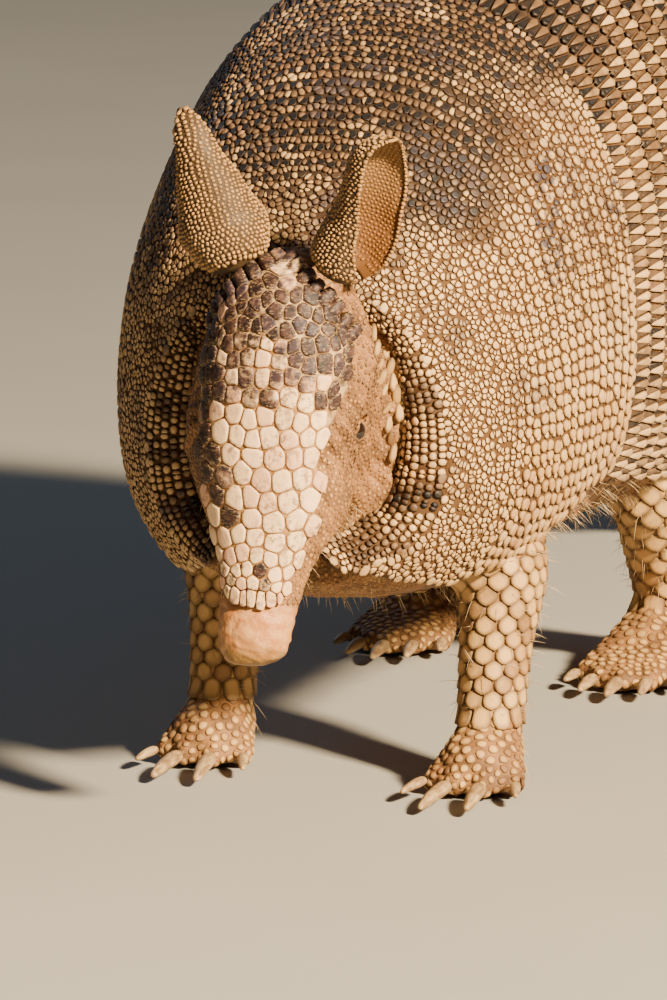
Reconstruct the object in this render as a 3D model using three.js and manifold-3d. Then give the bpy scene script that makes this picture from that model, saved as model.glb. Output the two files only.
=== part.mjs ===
// A life-size nine-banded armadillo that stands on four feet with its head lowered, one closed solid for
// each named part. Millimetres, +Z up. The animal faces -Y, its left side is +X, and the soles and the
// tail's end lie on Z = 0.
import * as THREE from "three";
import { mergeVertices } from "three/addons/utils/BufferGeometryUtils.js";
import Module from "manifold-3d";

const wasm = await Module();
wasm.setup();

// ---- Driving dimensions -------------------------------------------------------------------------
const GAP = 0.35; // clearance between neighbouring solids
const SHELL = 3; // thickness of the carapace plates
const SHIELD_REAR = 84; // shoulder shield's rear margin, behind the front edge at the nape
const BANDS = 9;
const BAND_PITCH = 10.6;
const BAND_SEAM = 0.6; // slit between two bands
const BAND_LIP = 0.7; // how far a band's rear edge stands over the next band
const EDGE_BOW = 16; // how far the plates' cross edges swing back from the margins to the dorsal line
const RUMP_FRONT = SHIELD_REAR + BANDS * BAND_PITCH + BAND_SEAM;
const RUMP_REAR = 316;
const COLUMNS = 16; // facets across the carapace, from margin to margin
const TRUNK_CLEARANCE = 1.5; // between the carapace and the trunk under it
const LOBE_REACH = 20; // how far the shoulder shield's lower corners come forward of the nape
const ARCH = 2.4; // superellipse exponent of the body's cross-section
const PLATE_ROWS = 7; // facets along the shoulder and rump shields
// Steps of the two surface parameters with which a normal is found.
const NORMAL_STEPS = { body: [1, 0.02], head: [0.5, 0.02], ear: [0.01, 0.02] };

const HEAD_LENGTH = 106;
const HEAD_TILT = THREE.MathUtils.degToRad(12); // of the face's long axis from the vertical, nose forwards
const HEAD_ROLL = THREE.MathUtils.degToRad(2);
const NOSE_TIP = new THREE.Vector3(2.2, -34, 45);
const HEAD_PLATE = 1.2; // thickness of the head shield
const HEAD_SKIN = 1.1; // how far the bare skin lies below the shield's underside
const HEAD_COLUMNS = 10; // facets across the head shield
const EYE_RADIUS = 4.6;
const EYE_STATION = 61; // distance of the eyes from the nose tip
const EYE_ANGLE = THREE.MathUtils.degToRad(72); // of the eyes from the dorsal line
const EYE_STAND = 0.4; // how far an eyeball stands out of the cheek
const HEAD_SHIELD_SPAN = [16, 101]; // first and last station of the head shield
const HEAD_SHIELD_ROWS = 9;

const EAR_LENGTH = 43;
const EAR_WIDTH = 36; // flattened width of the leaf
const EAR_SETBACK = 8; // of the ears' roots from the back of the head
const EAR_THICKNESS = 1.5;
const EAR_ROOT_SHIFT = 1.8; // of both ears to the left, as the head is turned
const EAR_ROOT_DEPTH = 2.5; // of an ear's root below the scalp
const EAR_ROOT_ANGLE = 1.2; // of an ear's root from the dorsal line, in radians
const EAR_FACETS = 7;

const TAIL_RINGS = 13; // bony rings on the root and the middle of the tail
const TAIL_SIDES = 10;
const TAIL_ROOT_RADIUS = 19;
const RING_FLARE = [[0.04, 0.95], [0.96, 1.05]]; // [share of a ring's length, share of the tail's radius]
const [ROOT_END, MIDDLE_END] = [0.34, 0.68]; // shares of the tail's length
const [ROOT_RINGS, TIP_RINGS] = [6, 6];
const TAIL_START = 0.02; // share of the tail's line at which its first ring begins, under the rump
const TAIL_SLIT = 0.003; // between two stretches, as a share of the tail's length

// Soles: toe-line positions on the floor, with the walking stagger of the left and right feet.
const FOREFOOT = { left: [40, 44], right: [-38, 60] };
const HINDFOOT = { left: [42, 206], right: [-34, 238] };

const SIDES = { left: 1, right: -1 };
const CLAW_START = 3.57; // of a claw's root in front of its toe's last section
const FLOOR_TOOL = 2000; // size of the block that trims whatever lies below the floor

const COLOURS = {
  shell: 0xa98c6c,
  skin: 0xc49a76,
  face: 0xe3c6ae,
  ear: 0xb98f63,
  tail: 0x8f7659,
  claw: 0xcdb78e,
  eye: 0x1c130d,
};

// ---- Small tools --------------------------------------------------------------------------------
const V = (x, y, z) => new THREE.Vector3(x, y, z);
const mix = (a, b, k) => a + (b - a) * k;
const clamp01 = (x) => Math.min(1, Math.max(0, x));

// A smooth function through [x, y] pairs that doesn't overshoot between them (Fritsch and Carlson's
// slopes).
function through(...pairs) {
  const slope = pairs.slice(1).map(([x, y], i) => (y - pairs[i][1]) / (x - pairs[i][0]));
  const tangent = pairs.map((_, i) => {
    const before = slope[i - 1] ?? slope[0];
    const after = slope[i] ?? slope[slope.length - 1];
    return before * after <= 0 ? 0 : (2 * before * after) / (before + after);
  });
  return (x) => {
    let i = pairs.findIndex(([end]) => x < end) - 1;
    if (i < 0) i = x < pairs[0][0] ? 0 : pairs.length - 2;
    const [x0, y0] = pairs[i];
    const [x1, y1] = pairs[i + 1];
    const width = x1 - x0;
    const k = clamp01((x - x0) / width);
    return (
      y0 * (1 + 2 * k) * (1 - k) ** 2 +
      y1 * k * k * (3 - 2 * k) +
      width * (tangent[i] * k * (1 - k) ** 2 - tangent[i + 1] * k * k * (1 - k))
    );
  };
}

// Moves a point of a surface along the surface's normal. `at` takes the two surface parameters.
function offsetFrom(at, a, b, distance, [stepA, stepB]) {
  const point = at(a, b);
  if (!distance) return point;
  const alongA = at(a + stepA, b).sub(at(a - stepA, b));
  const alongB = at(a, b + stepB).sub(at(a, b - stepB));
  return point.add(alongA.cross(alongB).normalize().multiplyScalar(distance));
}

function solidOf(geometry) {
  const bare = geometry.clone();
  for (const name of Object.keys(bare.attributes)) if (name !== "position") bare.deleteAttribute(name);
  const merged = mergeVertices(bare, 1e-4);
  const made = (indices) =>
    new wasm.Manifold(
      new wasm.Mesh({ numProp: 3, vertProperties: merged.attributes.position.array, triVerts: indices }),
    );
  const indices = new Uint32Array(merged.index.array);
  const solid = made(indices);
  return solid.volume() > 0 ? solid : made(indices.reverse());
}

function geometryOf(solid) {
  const mesh = solid.getMesh();
  const geometry = new THREE.BufferGeometry();
  geometry.setAttribute("position", new THREE.BufferAttribute(new Float32Array(mesh.vertProperties), 3));
  geometry.setIndex(new THREE.BufferAttribute(mesh.triVerts, 1));
  return geometry;
}

const biggest = (solid) => solid.decompose().reduce((a, b) => (a.volume() > b.volume() ? a : b));

function indexed(points, faces) {
  const geometry = new THREE.BufferGeometry();
  const flat = points.flatMap((p) => p.toArray());
  geometry.setAttribute("position", new THREE.Float32BufferAttribute(flat, 3));
  geometry.setIndex(faces.flat());
  return geometry;
}

// A closed solid through rings of points, each ring all round the body, with a fan over each end.
function loft(rings) {
  const count = rings[0].length;
  const points = rings.flat();
  const faces = [];
  for (let i = 0; i < rings.length - 1; i++)
    for (let j = 0; j < count; j++) {
      const a = i * count + j;
      const b = i * count + ((j + 1) % count);
      faces.push([a, b, b + count], [a, b + count, a + count]);
    }
  for (const [row, flip] of [[0, true], [rings.length - 1, false]]) {
    const centre = points.length;
    points.push(rings[row].reduce((sum, p) => sum.add(p), V(0, 0, 0)).divideScalar(count));
    for (let j = 0; j < count; j++) {
      const a = row * count + j;
      const b = row * count + ((j + 1) % count);
      faces.push(flip ? [centre, b, a] : [centre, a, b]);
    }
  }
  return solidOf(indexed(points, faces));
}

// A closed plate: `at(u, v, face)` gives a point of its outer (face 1) or inner (face 0) side, u and v
// from 0 to 1.
function plate(rows, columns, at) {
  const points = [];
  for (const face of [1, 0])
    for (let i = 0; i <= rows; i++)
      for (let j = 0; j <= columns; j++) points.push(at(i / rows, j / columns, face));
  const side = (rows + 1) * (columns + 1);
  const id = (i, j, face) => i * (columns + 1) + j + (face ? 0 : side);
  const faces = [];
  const quad = (a, b, c, d) => faces.push([a, b, c], [a, c, d]);
  for (let i = 0; i < rows; i++)
    for (let j = 0; j < columns; j++) {
      quad(id(i, j, 1), id(i + 1, j, 1), id(i + 1, j + 1, 1), id(i, j + 1, 1));
      quad(id(i, j, 0), id(i, j + 1, 0), id(i + 1, j + 1, 0), id(i + 1, j, 0));
    }
  for (let i = 0; i < rows; i++) {
    quad(id(i, 0, 0), id(i + 1, 0, 0), id(i + 1, 0, 1), id(i, 0, 1));
    quad(id(i, columns, 1), id(i + 1, columns, 1), id(i + 1, columns, 0), id(i, columns, 0));
  }
  for (let j = 0; j < columns; j++) {
    quad(id(0, j, 1), id(0, j + 1, 1), id(0, j + 1, 0), id(0, j, 0));
    quad(id(rows, j, 0), id(rows, j + 1, 0), id(rows, j + 1, 1), id(rows, j, 1));
  }
  return solidOf(indexed(points, faces));
}

// A round-ended limb along a curve. Each stop is [point, half-width across, half-depth]; `side` is the
// width's way.
function limb(stops, { grow = 0, side = V(1, 0, 0), sections = 6, around = 10, caps = [0.85, 0.5] } = {}) {
  const curve = new THREE.CatmullRomCurve3(stops.map(([p]) => p), false, "centripetal");
  const last = stops.length - 1;
  const size = (index) => through(...stops.map((stop, i) => [i / last, stop[index]]));
  const [across, deep] = [size(1), size(2)];
  const ring = (k, shrink, push) => {
    const ahead = curve.getTangent(k);
    const up = ahead.clone().cross(side).normalize();
    const right = up.clone().cross(ahead).normalize();
    const centre = curve.getPoint(k).addScaledVector(ahead, push);
    return Array.from({ length: around }, (_, j) => {
      const angle = (2 * Math.PI * j) / around;
      return centre
        .clone()
        .addScaledVector(right, Math.cos(angle) * (across(k) + grow) * shrink)
        .addScaledVector(up, Math.sin(angle) * (deep(k) + grow) * shrink);
    });
  };
  const cap = (k, way) => {
    const radius = Math.min(across(k), deep(k)) + grow;
    return caps.map((s) => ring(k, Math.sqrt(1 - s * s), way * s * radius));
  };
  const rings = Array.from({ length: sections + 1 }, (_, i) => ring(i / sections, 1, 0));
  return loft([...cap(0, -1), ...rings, ...cap(1, 1).reverse()]);
}

const join = (solids) => solids.reduce((sum, s) => sum.add(s));
const cut = (solid, ...tools) => tools.reduce((left, tool) => left.subtract(tool), solid);
const aboveFloor = (solid) => {
  const under = new THREE.BoxGeometry(FLOOR_TOOL, FLOOR_TOOL, FLOOR_TOOL);
  under.translate(0, 0, -FLOOR_TOOL / 2);
  return solid.subtract(solidOf(under));
};

// ---- Body and carapace --------------------------------------------------------------------------
// Stations run backwards from the nape, where the shoulder shield's front edge crosses the back.
const bodyHalfWidth = through(
  [-22, 16], [-12, 22], [-5, 28], [0, 33], [6, 41], [14, 48], [25, 54.5], [40, 58.5], [60, 62], [84, 65],
  [130, 69.5],
  [190, 73], [235, 72], [268, 64.5], [293, 50], [RUMP_REAR, 29],
);
const bodyTop = through(
  [-22, 94], [-12, 112], [-5, 126], [0, 137], [8, 150], [20, 163], [40, 178], [60, 189], [84, 199],
  [120, 207],
  [160, 210], [200, 207], [235, 195], [265, 174], [290, 144], [RUMP_REAR, 104],
);
const bodyMiddle = through(
  [-22, 72], [0, 88], [20, 95], [50, 100], [130, 106], [210, 103], [270, 94], [RUMP_REAR, 82],
);
const bodyBottom = through(
  [-22, 62], [0, 54], [20, 47], [60, 42], [130, 44], [200, 41], [250, 45], [290, 56], [RUMP_REAR, 65],
);
// Height of the carapace's free lower margin.
const marginHeight = through(
  [-20, 72], [-10, 65], [0, 60], [10, 57], [25, 55], [40, 56], [60, 61.5], [84, 73], [105, 69], [150, 62],
  [190, 57],
  [225, 53], [252, 55], [278, 66], [300, 78], [RUMP_REAR, 85],
);

const signedPower = (x, power) => Math.sign(x) * Math.abs(x) ** power;

function bodyPoint(station, angle) {
  const middle = bodyMiddle(station);
  const rise = Math.cos(angle) > 0 ? bodyTop(station) - middle : middle - bodyBottom(station);
  return V(
    bodyHalfWidth(station) * signedPower(Math.sin(angle), 2 / ARCH),
    station,
    middle + rise * signedPower(Math.cos(angle), 2 / ARCH),
  );
}

const bodyAt = (station, angle, distance) =>
  offsetFrom(bodyPoint, station, angle, -distance, NORMAL_STEPS.body);

// The angle round the body, from the top of the back, at which a plate's lower margin lies.
function marginAngle(station) {
  const middle = bodyMiddle(station);
  const height = marginHeight(station) - middle;
  const rise = height > 0 ? bodyTop(station) - middle : middle - bodyBottom(station);
  return Math.acos(signedPower(height / rise, ARCH / 2));
}

// A plate of the carapace between two margins, each a function of how far round the body it is (-1 to 1).
function carapacePlate({ front, rear, rows, columns, outer, grow = 0 }) {
  return plate(rows, columns, (u, v, face) => {
    const round = 2 * v - 1;
    const station = mix(front(round) - grow, rear(round) + grow, u);
    const reach = marginAngle(station) + grow / bodyHalfWidth(station);
    return bodyAt(station, round * reach, face ? outer(u) + grow : -SHELL - grow);
  });
}

// A cross edge of the carapace, straight at its margins and swung back over the dorsal line.
const bowed = (station) => (round) => station + EDGE_BOW * (1 - round ** 2);

const shoulderShield = (grow = 0) =>
  carapacePlate({
    front: (round) => -LOBE_REACH * Math.abs(round) ** 3,
    rear: bowed(SHIELD_REAR),
    rows: PLATE_ROWS,
    columns: COLUMNS,
    outer: (u) => (u > 0.95 ? BAND_LIP : 0),
    grow,
  });

const rumpShield = (grow = 0) =>
  carapacePlate({
    front: bowed(RUMP_FRONT),
    rear: () => RUMP_REAR,
    rows: PLATE_ROWS,
    columns: COLUMNS,
    outer: () => 0,
    grow,
  });

function band(index) {
  const start = SHIELD_REAR + BAND_SEAM + index * BAND_PITCH;
  return carapacePlate({
    front: bowed(start),
    rear: bowed(start + BAND_PITCH - BAND_SEAM),
    rows: 1,
    columns: COLUMNS,
    outer: (u) => mix(-BAND_LIP, BAND_LIP, u),
  });
}

// The trunk under the carapace, from the chest to the root of the tail. Its facets follow the carapace's.
function trunk(grow = 0) {
  const [first, last, sections, belly] = [2, RUMP_REAR - 5, 13, 6];
  const rings = Array.from({ length: sections + 1 }, (_, i) => {
    const k = 0.5 - 0.5 * Math.cos((Math.PI * i) / sections);
    const station = mix(first - grow, last + grow, mix(i / sections, k, 0.7));
    const margin = marginAngle(station);
    const covered = Array.from({ length: COLUMNS + 1 }, (_, j) => margin * ((2 * j) / COLUMNS - 1));
    const step = ((Math.PI - margin) * 2) / belly;
    const below = Array.from({ length: belly - 1 }, (_, j) => margin + step * (j + 1));
    return [...covered, ...below].map((angle) => bodyAt(station, angle, -SHELL - TRUNK_CLEARANCE + grow));
  });
  return loft(rings);
}

// ---- Head ---------------------------------------------------------------------------------------
// Stations run back from the nose tip along the face; the angle is 0 on the dorsal line and 180 degrees at
// the throat.
const headHalfWidth = through(
  [0, 6.5], [4, 9.4], [12, 10.3], [24, 12], [36, 16.5], [48, 22], [60, 25.4], [72, 25.2], [84, 22],
  [94, 17.5],
  [102, 11], [106, 5],
);
const headAbove = through(
  [0, 5.5], [4, 7.8], [12, 8.8], [24, 10.5], [48, 16], [64, 19.3], [84, 20], [94, 17.5], [102, 12],
  [106, 6],
);
const headBelow = through(
  [0, 5.5], [4, 7.4], [12, 8.2], [24, 9.5], [36, 13], [48, 17.5], [62, 21], [76, 22], [90, 18], [102, 11],
  [106, 6],
);

const headMatrix = new THREE.Matrix4().compose(
  NOSE_TIP,
  new THREE.Quaternion().setFromEuler(new THREE.Euler(-HEAD_TILT, HEAD_ROLL, 0, "YXZ")),
  V(1, 1, 1),
);

// The cheeks are squarer than the crown: this is the superellipse exponent of the lower half of the head.
const cheekPower = through([0, 2], [20, 2], [50, 2.8], [84, 2.8], [106, 2]);

function headPoint(station, angle) {
  const upper = Math.cos(angle) > 0;
  const rise = upper ? headAbove(station) : headBelow(station);
  const power = upper ? 1 : 2 / cheekPower(station);
  const across = headHalfWidth(station) * signedPower(Math.sin(angle), power);
  return V(across, -rise * signedPower(Math.cos(angle), power), station).applyMatrix4(headMatrix);
}

const headAt = (station, angle, distance) =>
  offsetFrom(headPoint, station, angle, -distance, NORMAL_STEPS.head);

// How far round the head its shield reaches: over the crown, above the eyes and along the snout.
const headPlateReach = through(
  [16, 0.9], [30, 1.1], [48, 0.95], [60, 0.84], [70, 0.92], [84, 1.14], [98, 1.1], [104, 1.0],
);

function headShield(grow = 0) {
  const [front, rear] = HEAD_SHIELD_SPAN;
  return plate(HEAD_SHIELD_ROWS, HEAD_COLUMNS, (u, v, face) => {
    const station = mix(front - grow, rear + grow, u);
    const angle = (2 * v - 1) * (headPlateReach(station) + grow / headHalfWidth(station));
    return headAt(station, angle, face ? grow : -HEAD_PLATE - grow);
  });
}

function eyeCentre(side) {
  const inward = EYE_RADIUS - EYE_STAND;
  return headAt(EYE_STATION, side * EYE_ANGLE, -inward);
}

// The head under its shield. Its facets follow the shield's, and it sinks away under the shield's edges.
function headFlesh(grow = 0) {
  const [sections, below] = [14, 7];
  const rings = Array.from({ length: sections + 1 }, (_, i) => {
    const eased = mix(i / sections, 0.5 - 0.5 * Math.cos((Math.PI * i) / sections), 0.6);
    const station = mix(0.6, HEAD_LENGTH - 0.6, eased);
    const reach = headPlateReach(station);
    const sunk = station > 13 ? HEAD_PLATE + HEAD_SKIN : 0;
    const step = ((Math.PI - reach) * 2) / below;
    const shares = Array.from({ length: HEAD_COLUMNS + 1 }, (_, j) => (2 * j) / HEAD_COLUMNS - 1);
    const covered = shares.map((share) => [reach * share, -sunk]);
    const bare = Array.from({ length: below - 1 }, (_, j) => [reach + step * (j + 1), 0]);
    return [...covered, ...bare].map(([angle, depth]) => headAt(station, angle, depth + grow));
  });
  return loft(rings);
}

// ---- Ears ---------------------------------------------------------------------------------------
// Each ear is a leaf rolled about its long axis into a funnel. The right one is turned back and shows its
// outside.
const earHalfSpan = through(
  [0, 0.42], [0.14, 0.8], [0.28, 1], [0.5, 0.84], [0.7, 0.56], [0.88, 0.3], [1, 0.12],
);
const EARS = {
  left: {
    openTo: V(0.92, -0.38, 0),
    axis: V(15.5, -11, 38.5),
    roll: through([0, 2.7], [0.3, 2], [0.65, 1.35], [1, 0.9]),
  },
  right: {
    openTo: V(-0.6, 0.8, 0),
    axis: V(-15, -3, 42),
    roll: through([0, 2.4], [0.3, 1.5], [0.65, 1.1], [1, 0.8]),
  },
};

function ear(name) {
  const side = SIDES[name];
  const { openTo, axis, roll } = EARS[name];
  const up = axis.clone().normalize();
  const open = openTo.clone().addScaledVector(up, -openTo.dot(up)).normalize();
  const across = up.clone().cross(open).normalize();
  const root = headPoint(HEAD_LENGTH - EAR_SETBACK, side * EAR_ROOT_ANGLE)
    .add(V(EAR_ROOT_SHIFT, 0, 0))
    .addScaledVector(up, -EAR_ROOT_DEPTH);
  const surface = (u, round) => {
    const wrap = roll(u);
    const radius = (earHalfSpan(u) * EAR_WIDTH) / 2 / wrap;
    const angle = round * wrap;
    return root
      .clone()
      .addScaledVector(up, u * EAR_LENGTH)
      .addScaledVector(open, -radius * Math.cos(angle))
      .addScaledVector(across, radius * Math.sin(angle));
  };
  const thick = (face) => face * EAR_THICKNESS;
  return plate(EAR_FACETS, EAR_FACETS, (u, v, face) =>
    offsetFrom(surface, clamp01(u), 2 * v - 1, thick(face), NORMAL_STEPS.ear),
  );
}

// ---- Neck, tail ---------------------------------------------------------------------------------
const neck = (grow = 0) =>
  limb(
    [
      [V(4, -17, 112), 20, 24],
      [V(2, -4, 106), 24, 27],
      [V(0, 14, 103), 29, 34],
    ],
    { grow, sections: 3, around: 14, caps: [0.6] },
  );

const tailLine = new THREE.CatmullRomCurve3(
  [
    V(0, RUMP_REAR - 21, 86),
    V(0, RUMP_REAR + 7, 79),
    V(3, RUMP_REAR + 37, 61),
    V(9, RUMP_REAR + 69, 39),
    V(20, RUMP_REAR + 107, 19.5),
    V(35, RUMP_REAR + 155, 8),
    V(53, RUMP_REAR + 210, 4),
    V(69, RUMP_REAR + 266, 2.2),
  ],
  false,
  "centripetal",
);
const tailRadius = through(
  [0, TAIL_ROOT_RADIUS], [0.12, 17.2], [0.4, 11.4], [0.7, 6.2], [0.92, 3.4], [1, 2.1],
);

// A stretch of the tail between two shares of its length. Each bony ring flares towards its rear edge.
function tailStretch(from, to, rings) {
  const stops = [];
  const step = (to - from) / rings;
  for (let i = 0; i < rings; i++)
    for (const [share, flare] of RING_FLARE) stops.push([from + step * (i + share), flare]);
  return aboveFloor(
    loft(
      stops.map(([k, flare]) => {
        const ahead = tailLine.getTangentAt(k);
        const right = ahead.clone().cross(V(0, 0, 1)).normalize();
        const up = right.clone().cross(ahead);
        return Array.from({ length: TAIL_SIDES }, (_, j) => {
          const angle = (2 * Math.PI * j) / TAIL_SIDES;
          return tailLine
            .getPointAt(k)
            .addScaledVector(right, Math.cos(angle) * tailRadius(k) * flare)
            .addScaledVector(up, Math.sin(angle) * tailRadius(k) * flare);
        });
      }),
    ),
  );
}

// ---- Legs, feet, claws --------------------------------------------------------------------------
function foreleg(side, grow = 0) {
  const [x, y] = FOREFOOT[side];
  const out = Math.sign(x);
  return limb(
    [
      [V(x - 4 * out, y + 10, 84), 15, 19],
      [V(x + 1 * out, y + 10, 58), 12, 16],
      [V(x, y + 6, 34), 9.2, 11.5],
      [V(x, y + 2, 16), 8.8, 9],
    ],
    { grow, sections: 5 },
  );
}

function hindleg(side, grow = 0) {
  const [x, y] = HINDFOOT[side];
  const out = Math.sign(x);
  const thigh = limb(
    [
      [V(x - 2 * out, y + 8, 92), 20, 29],
      [V(x + 3 * out, y - 6, 74), 17, 24],
      [V(x + 3 * out, y - 18, 56), 12.5, 16],
    ],
    { grow, sections: 3, caps: [0.6] },
  );
  const shank = limb(
    [
      [V(x + 3 * out, y - 17, 57), 12, 15],
      [V(x + 1 * out, y - 2, 38), 9.5, 12],
      [V(x, y + 14, 17), 8.6, 9.5],
    ],
    { grow, sections: 3, caps: [0.6] },
  );
  return thigh.add(shank);
}

// Toes as [sideways place, reach of the toe, sideways slant, claw length, claw width], from the inner to
// the outer.
const FORE_TOES = [
  [-9.5, 14, -0.3, 11, 3.4],
  [-3.6, 18.5, -0.1, 19, 5],
  [3.4, 18.5, 0.08, 18, 5],
  [9.6, 13.5, 0.3, 9, 3.2],
];
const HIND_TOES = [
  [-11, 27, -0.22, 7.5, 3.6],
  [-6, 33.5, -0.1, 11, 4.4],
  [0, 36, 0, 12.5, 4.8],
  [6, 33.5, 0.1, 11, 4.4],
  [11, 26, 0.22, 7.5, 3.6],
];

const TOE_HEIGHT = 3.8; // of the toes' axis above the floor

function toeTip([across, reach, slant], [x, y], out) {
  return V(x + across * out + slant * reach * 0.35 * out, y - reach, TOE_HEIGHT);
}

function foot({ at: [x, y], toes, palm, height, halfWidth }, grow = 0) {
  const out = Math.sign(x);
  const sole = limb(
    [
      [V(x, y + palm, height * 0.56), halfWidth * 0.74, height * 0.66],
      [V(x, y + palm * 0.35, height * 0.62), halfWidth * 0.88, height * 0.7],
      [V(x, y - 8, height * 0.47), halfWidth, height * 0.6],
    ],
    { grow, sections: 2, around: 8 },
  );
  const digits = toes.map((toe) => {
    const tip = toeTip(toe, [x, y], out);
    const root = V(x + toe[0] * 0.72 * out, y - 4, height * 0.55);
    return limb([[root, 4.6, 5.4], [tip.clone().lerp(root, 0.45).setZ(5.6), 4.1, 5.2], [tip, 3.3, 4.2]], {
      grow,
      sections: 2,
      around: 6,
      caps: [0.7],
    });
  });
  return aboveFloor(join([sole, ...digits]));
}

const forefoot = (side, grow) =>
  foot({ at: FOREFOOT[side], toes: FORE_TOES, palm: 6, height: 16, halfWidth: 11.5 }, grow);
const hindfoot = (side, grow) =>
  foot({ at: HINDFOOT[side], toes: HIND_TOES, palm: 24, height: 16, halfWidth: 13 }, grow);

// A claw at the origin: a flattened horn that reaches along -Y and curves down to its point.
function clawGeometry(length, width) {
  const rings = [0, 0.5, 0.95].map((k) => {
    const taper = Math.sqrt(1 - 0.92 * k * k);
    return Array.from({ length: 5 }, (_, j) => {
      const angle = (2 * Math.PI * (j + 0.25)) / 5;
      return V(
        (Math.cos(angle) * width * taper) / 2,
        -k * length,
        Math.sin(angle) * width * 0.42 * taper + 0.9 - k * k * length * 0.13,
      );
    });
  });
  return geometryOf(loft(rings));
}

// ---- Assembly -----------------------------------------------------------------------------------
const armadillo = new THREE.Group();

function add(name, geometry, colour, roughness = 0.75) {
  const material = new THREE.MeshStandardMaterial({ color: COLOURS[colour], roughness, metalness: 0 });
  const mesh = new THREE.Mesh(geometry, material);
  mesh.name = name;
  armadillo.add(mesh);
  return mesh;
}

const bandsTool = carapacePlate({
  front: bowed(SHIELD_REAR),
  rear: bowed(RUMP_FRONT),
  rows: BANDS,
  columns: COLUMNS,
  outer: () => BAND_LIP,
  grow: GAP,
});
const carapace = join([shoulderShield(2 * GAP), bandsTool, rumpShield(2 * GAP)]);

add("trunk", geometryOf(trunk()), "skin");
add("shoulder_shield", geometryOf(shoulderShield()), "shell", 0.6);
for (let i = 0; i < BANDS; i++) add(`band_${i + 1}`, geometryOf(band(i)), "shell", 0.6);
add("rump_shield", geometryOf(rumpShield()), "shell", 0.6);

const sockets = Object.values(SIDES).map((side) => {
  const socket = new THREE.SphereGeometry(EYE_RADIUS + GAP, 10, 7);
  return solidOf(socket.translate(...eyeCentre(side).toArray()));
});
const headTool = join([headFlesh(GAP), headShield(2 * GAP)]);
add("head", geometryOf(biggest(cut(headFlesh(), trunk(GAP), carapace, ...sockets))), "skin");
add("head_shield", geometryOf(headShield()), "face", 0.55);
add("neck", geometryOf(biggest(cut(neck(), headTool, trunk(GAP), carapace))), "skin");

for (const [name, side] of Object.entries(SIDES)) {
  const eyeball = add(`eye_${name}`, new THREE.SphereGeometry(EYE_RADIUS, 10, 7), "eye", 0.15);
  eyeball.position.copy(eyeCentre(side));
  add(`ear_${name}`, geometryOf(biggest(cut(ear(name), headTool, neck(GAP), carapace))), "ear");
}

for (const name of Object.keys(SIDES)) {
  const out = SIDES[name];
  for (const [limbName, leg, paw, toes, places] of [
    ["fore", foreleg, forefoot, FORE_TOES, FOREFOOT],
    ["hind", hindleg, hindfoot, HIND_TOES, HINDFOOT],
  ]) {
    const upper = cut(leg(name), trunk(GAP), carapace, paw(name, GAP));
    add(`${limbName}leg_${name}`, geometryOf(biggest(upper)), "skin");
    add(`${limbName}foot_${name}`, geometryOf(paw(name, 0)), "skin");
    toes.forEach((toe, i) => {
      const [, , slant, length, width] = toe;
      const claw = add(`${limbName}claw_${name}_${i + 1}`, clawGeometry(length, width), "claw", 0.45);
      const heading = V(slant * out, -1, 0).normalize();
      claw.quaternion.setFromUnitVectors(V(0, -1, 0), heading);
      claw.position.copy(toeTip(toe, places[name], out)).addScaledVector(heading, CLAW_START + GAP);
    });
  }
}

const tailRoot = tailStretch(TAIL_START, ROOT_END - TAIL_SLIT, ROOT_RINGS);
add("tail_root", geometryOf(biggest(cut(tailRoot, trunk(GAP), carapace))), "tail");
const tailMiddle = tailStretch(ROOT_END, MIDDLE_END - TAIL_SLIT, TAIL_RINGS - ROOT_RINGS);
add("tail_middle", geometryOf(tailMiddle), "tail");
add("tail_tip", geometryOf(tailStretch(MIDDLE_END, 1, TIP_RINGS)), "tail");

// The origin goes to the middle of the footprint, on the floor.
const bounds = new THREE.Box3().setFromObject(armadillo);
const middle = bounds.getCenter(V(0, 0, 0));
armadillo.position.set(-middle.x, -middle.y, -bounds.min.z);

export default armadillo;
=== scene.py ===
"""A life-size nine-banded armadillo: one skin, and over it the horn of shell, head, ears, legs and tail."""
import itertools
import math

import bpy
import numpy as np
from bpy.props import FloatProperty, FloatVectorProperty, IntProperty, PointerProperty
from mathutils import Matrix, Vector
from mathutils.bvhtree import BVHTree
from mathutils.kdtree import KDTree


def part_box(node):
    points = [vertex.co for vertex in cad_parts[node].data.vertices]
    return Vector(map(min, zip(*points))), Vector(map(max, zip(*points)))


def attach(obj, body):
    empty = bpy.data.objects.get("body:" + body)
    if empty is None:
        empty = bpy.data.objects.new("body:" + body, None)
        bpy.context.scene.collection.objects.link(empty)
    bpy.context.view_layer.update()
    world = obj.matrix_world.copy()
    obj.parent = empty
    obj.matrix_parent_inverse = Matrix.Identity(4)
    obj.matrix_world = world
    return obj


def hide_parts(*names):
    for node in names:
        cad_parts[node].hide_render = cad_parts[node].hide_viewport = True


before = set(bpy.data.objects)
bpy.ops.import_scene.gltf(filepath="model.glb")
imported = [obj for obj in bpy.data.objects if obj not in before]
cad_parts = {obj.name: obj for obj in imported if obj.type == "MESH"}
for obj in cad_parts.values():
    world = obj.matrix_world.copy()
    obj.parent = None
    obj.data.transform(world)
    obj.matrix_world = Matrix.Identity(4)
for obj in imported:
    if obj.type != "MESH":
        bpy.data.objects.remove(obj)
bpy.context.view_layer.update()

bl_info = {
    "name": "Nine-Banded Armadillo",
    "version": (1, 0, 0),
    "blender": (4, 5, 0),
    "location": "View3D > Sidebar > Armadillo",
    "description": "Builds the skin, shell, scales, ears, claws and hairs of a life-size armadillo",
    "category": "Add Mesh",
}

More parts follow.
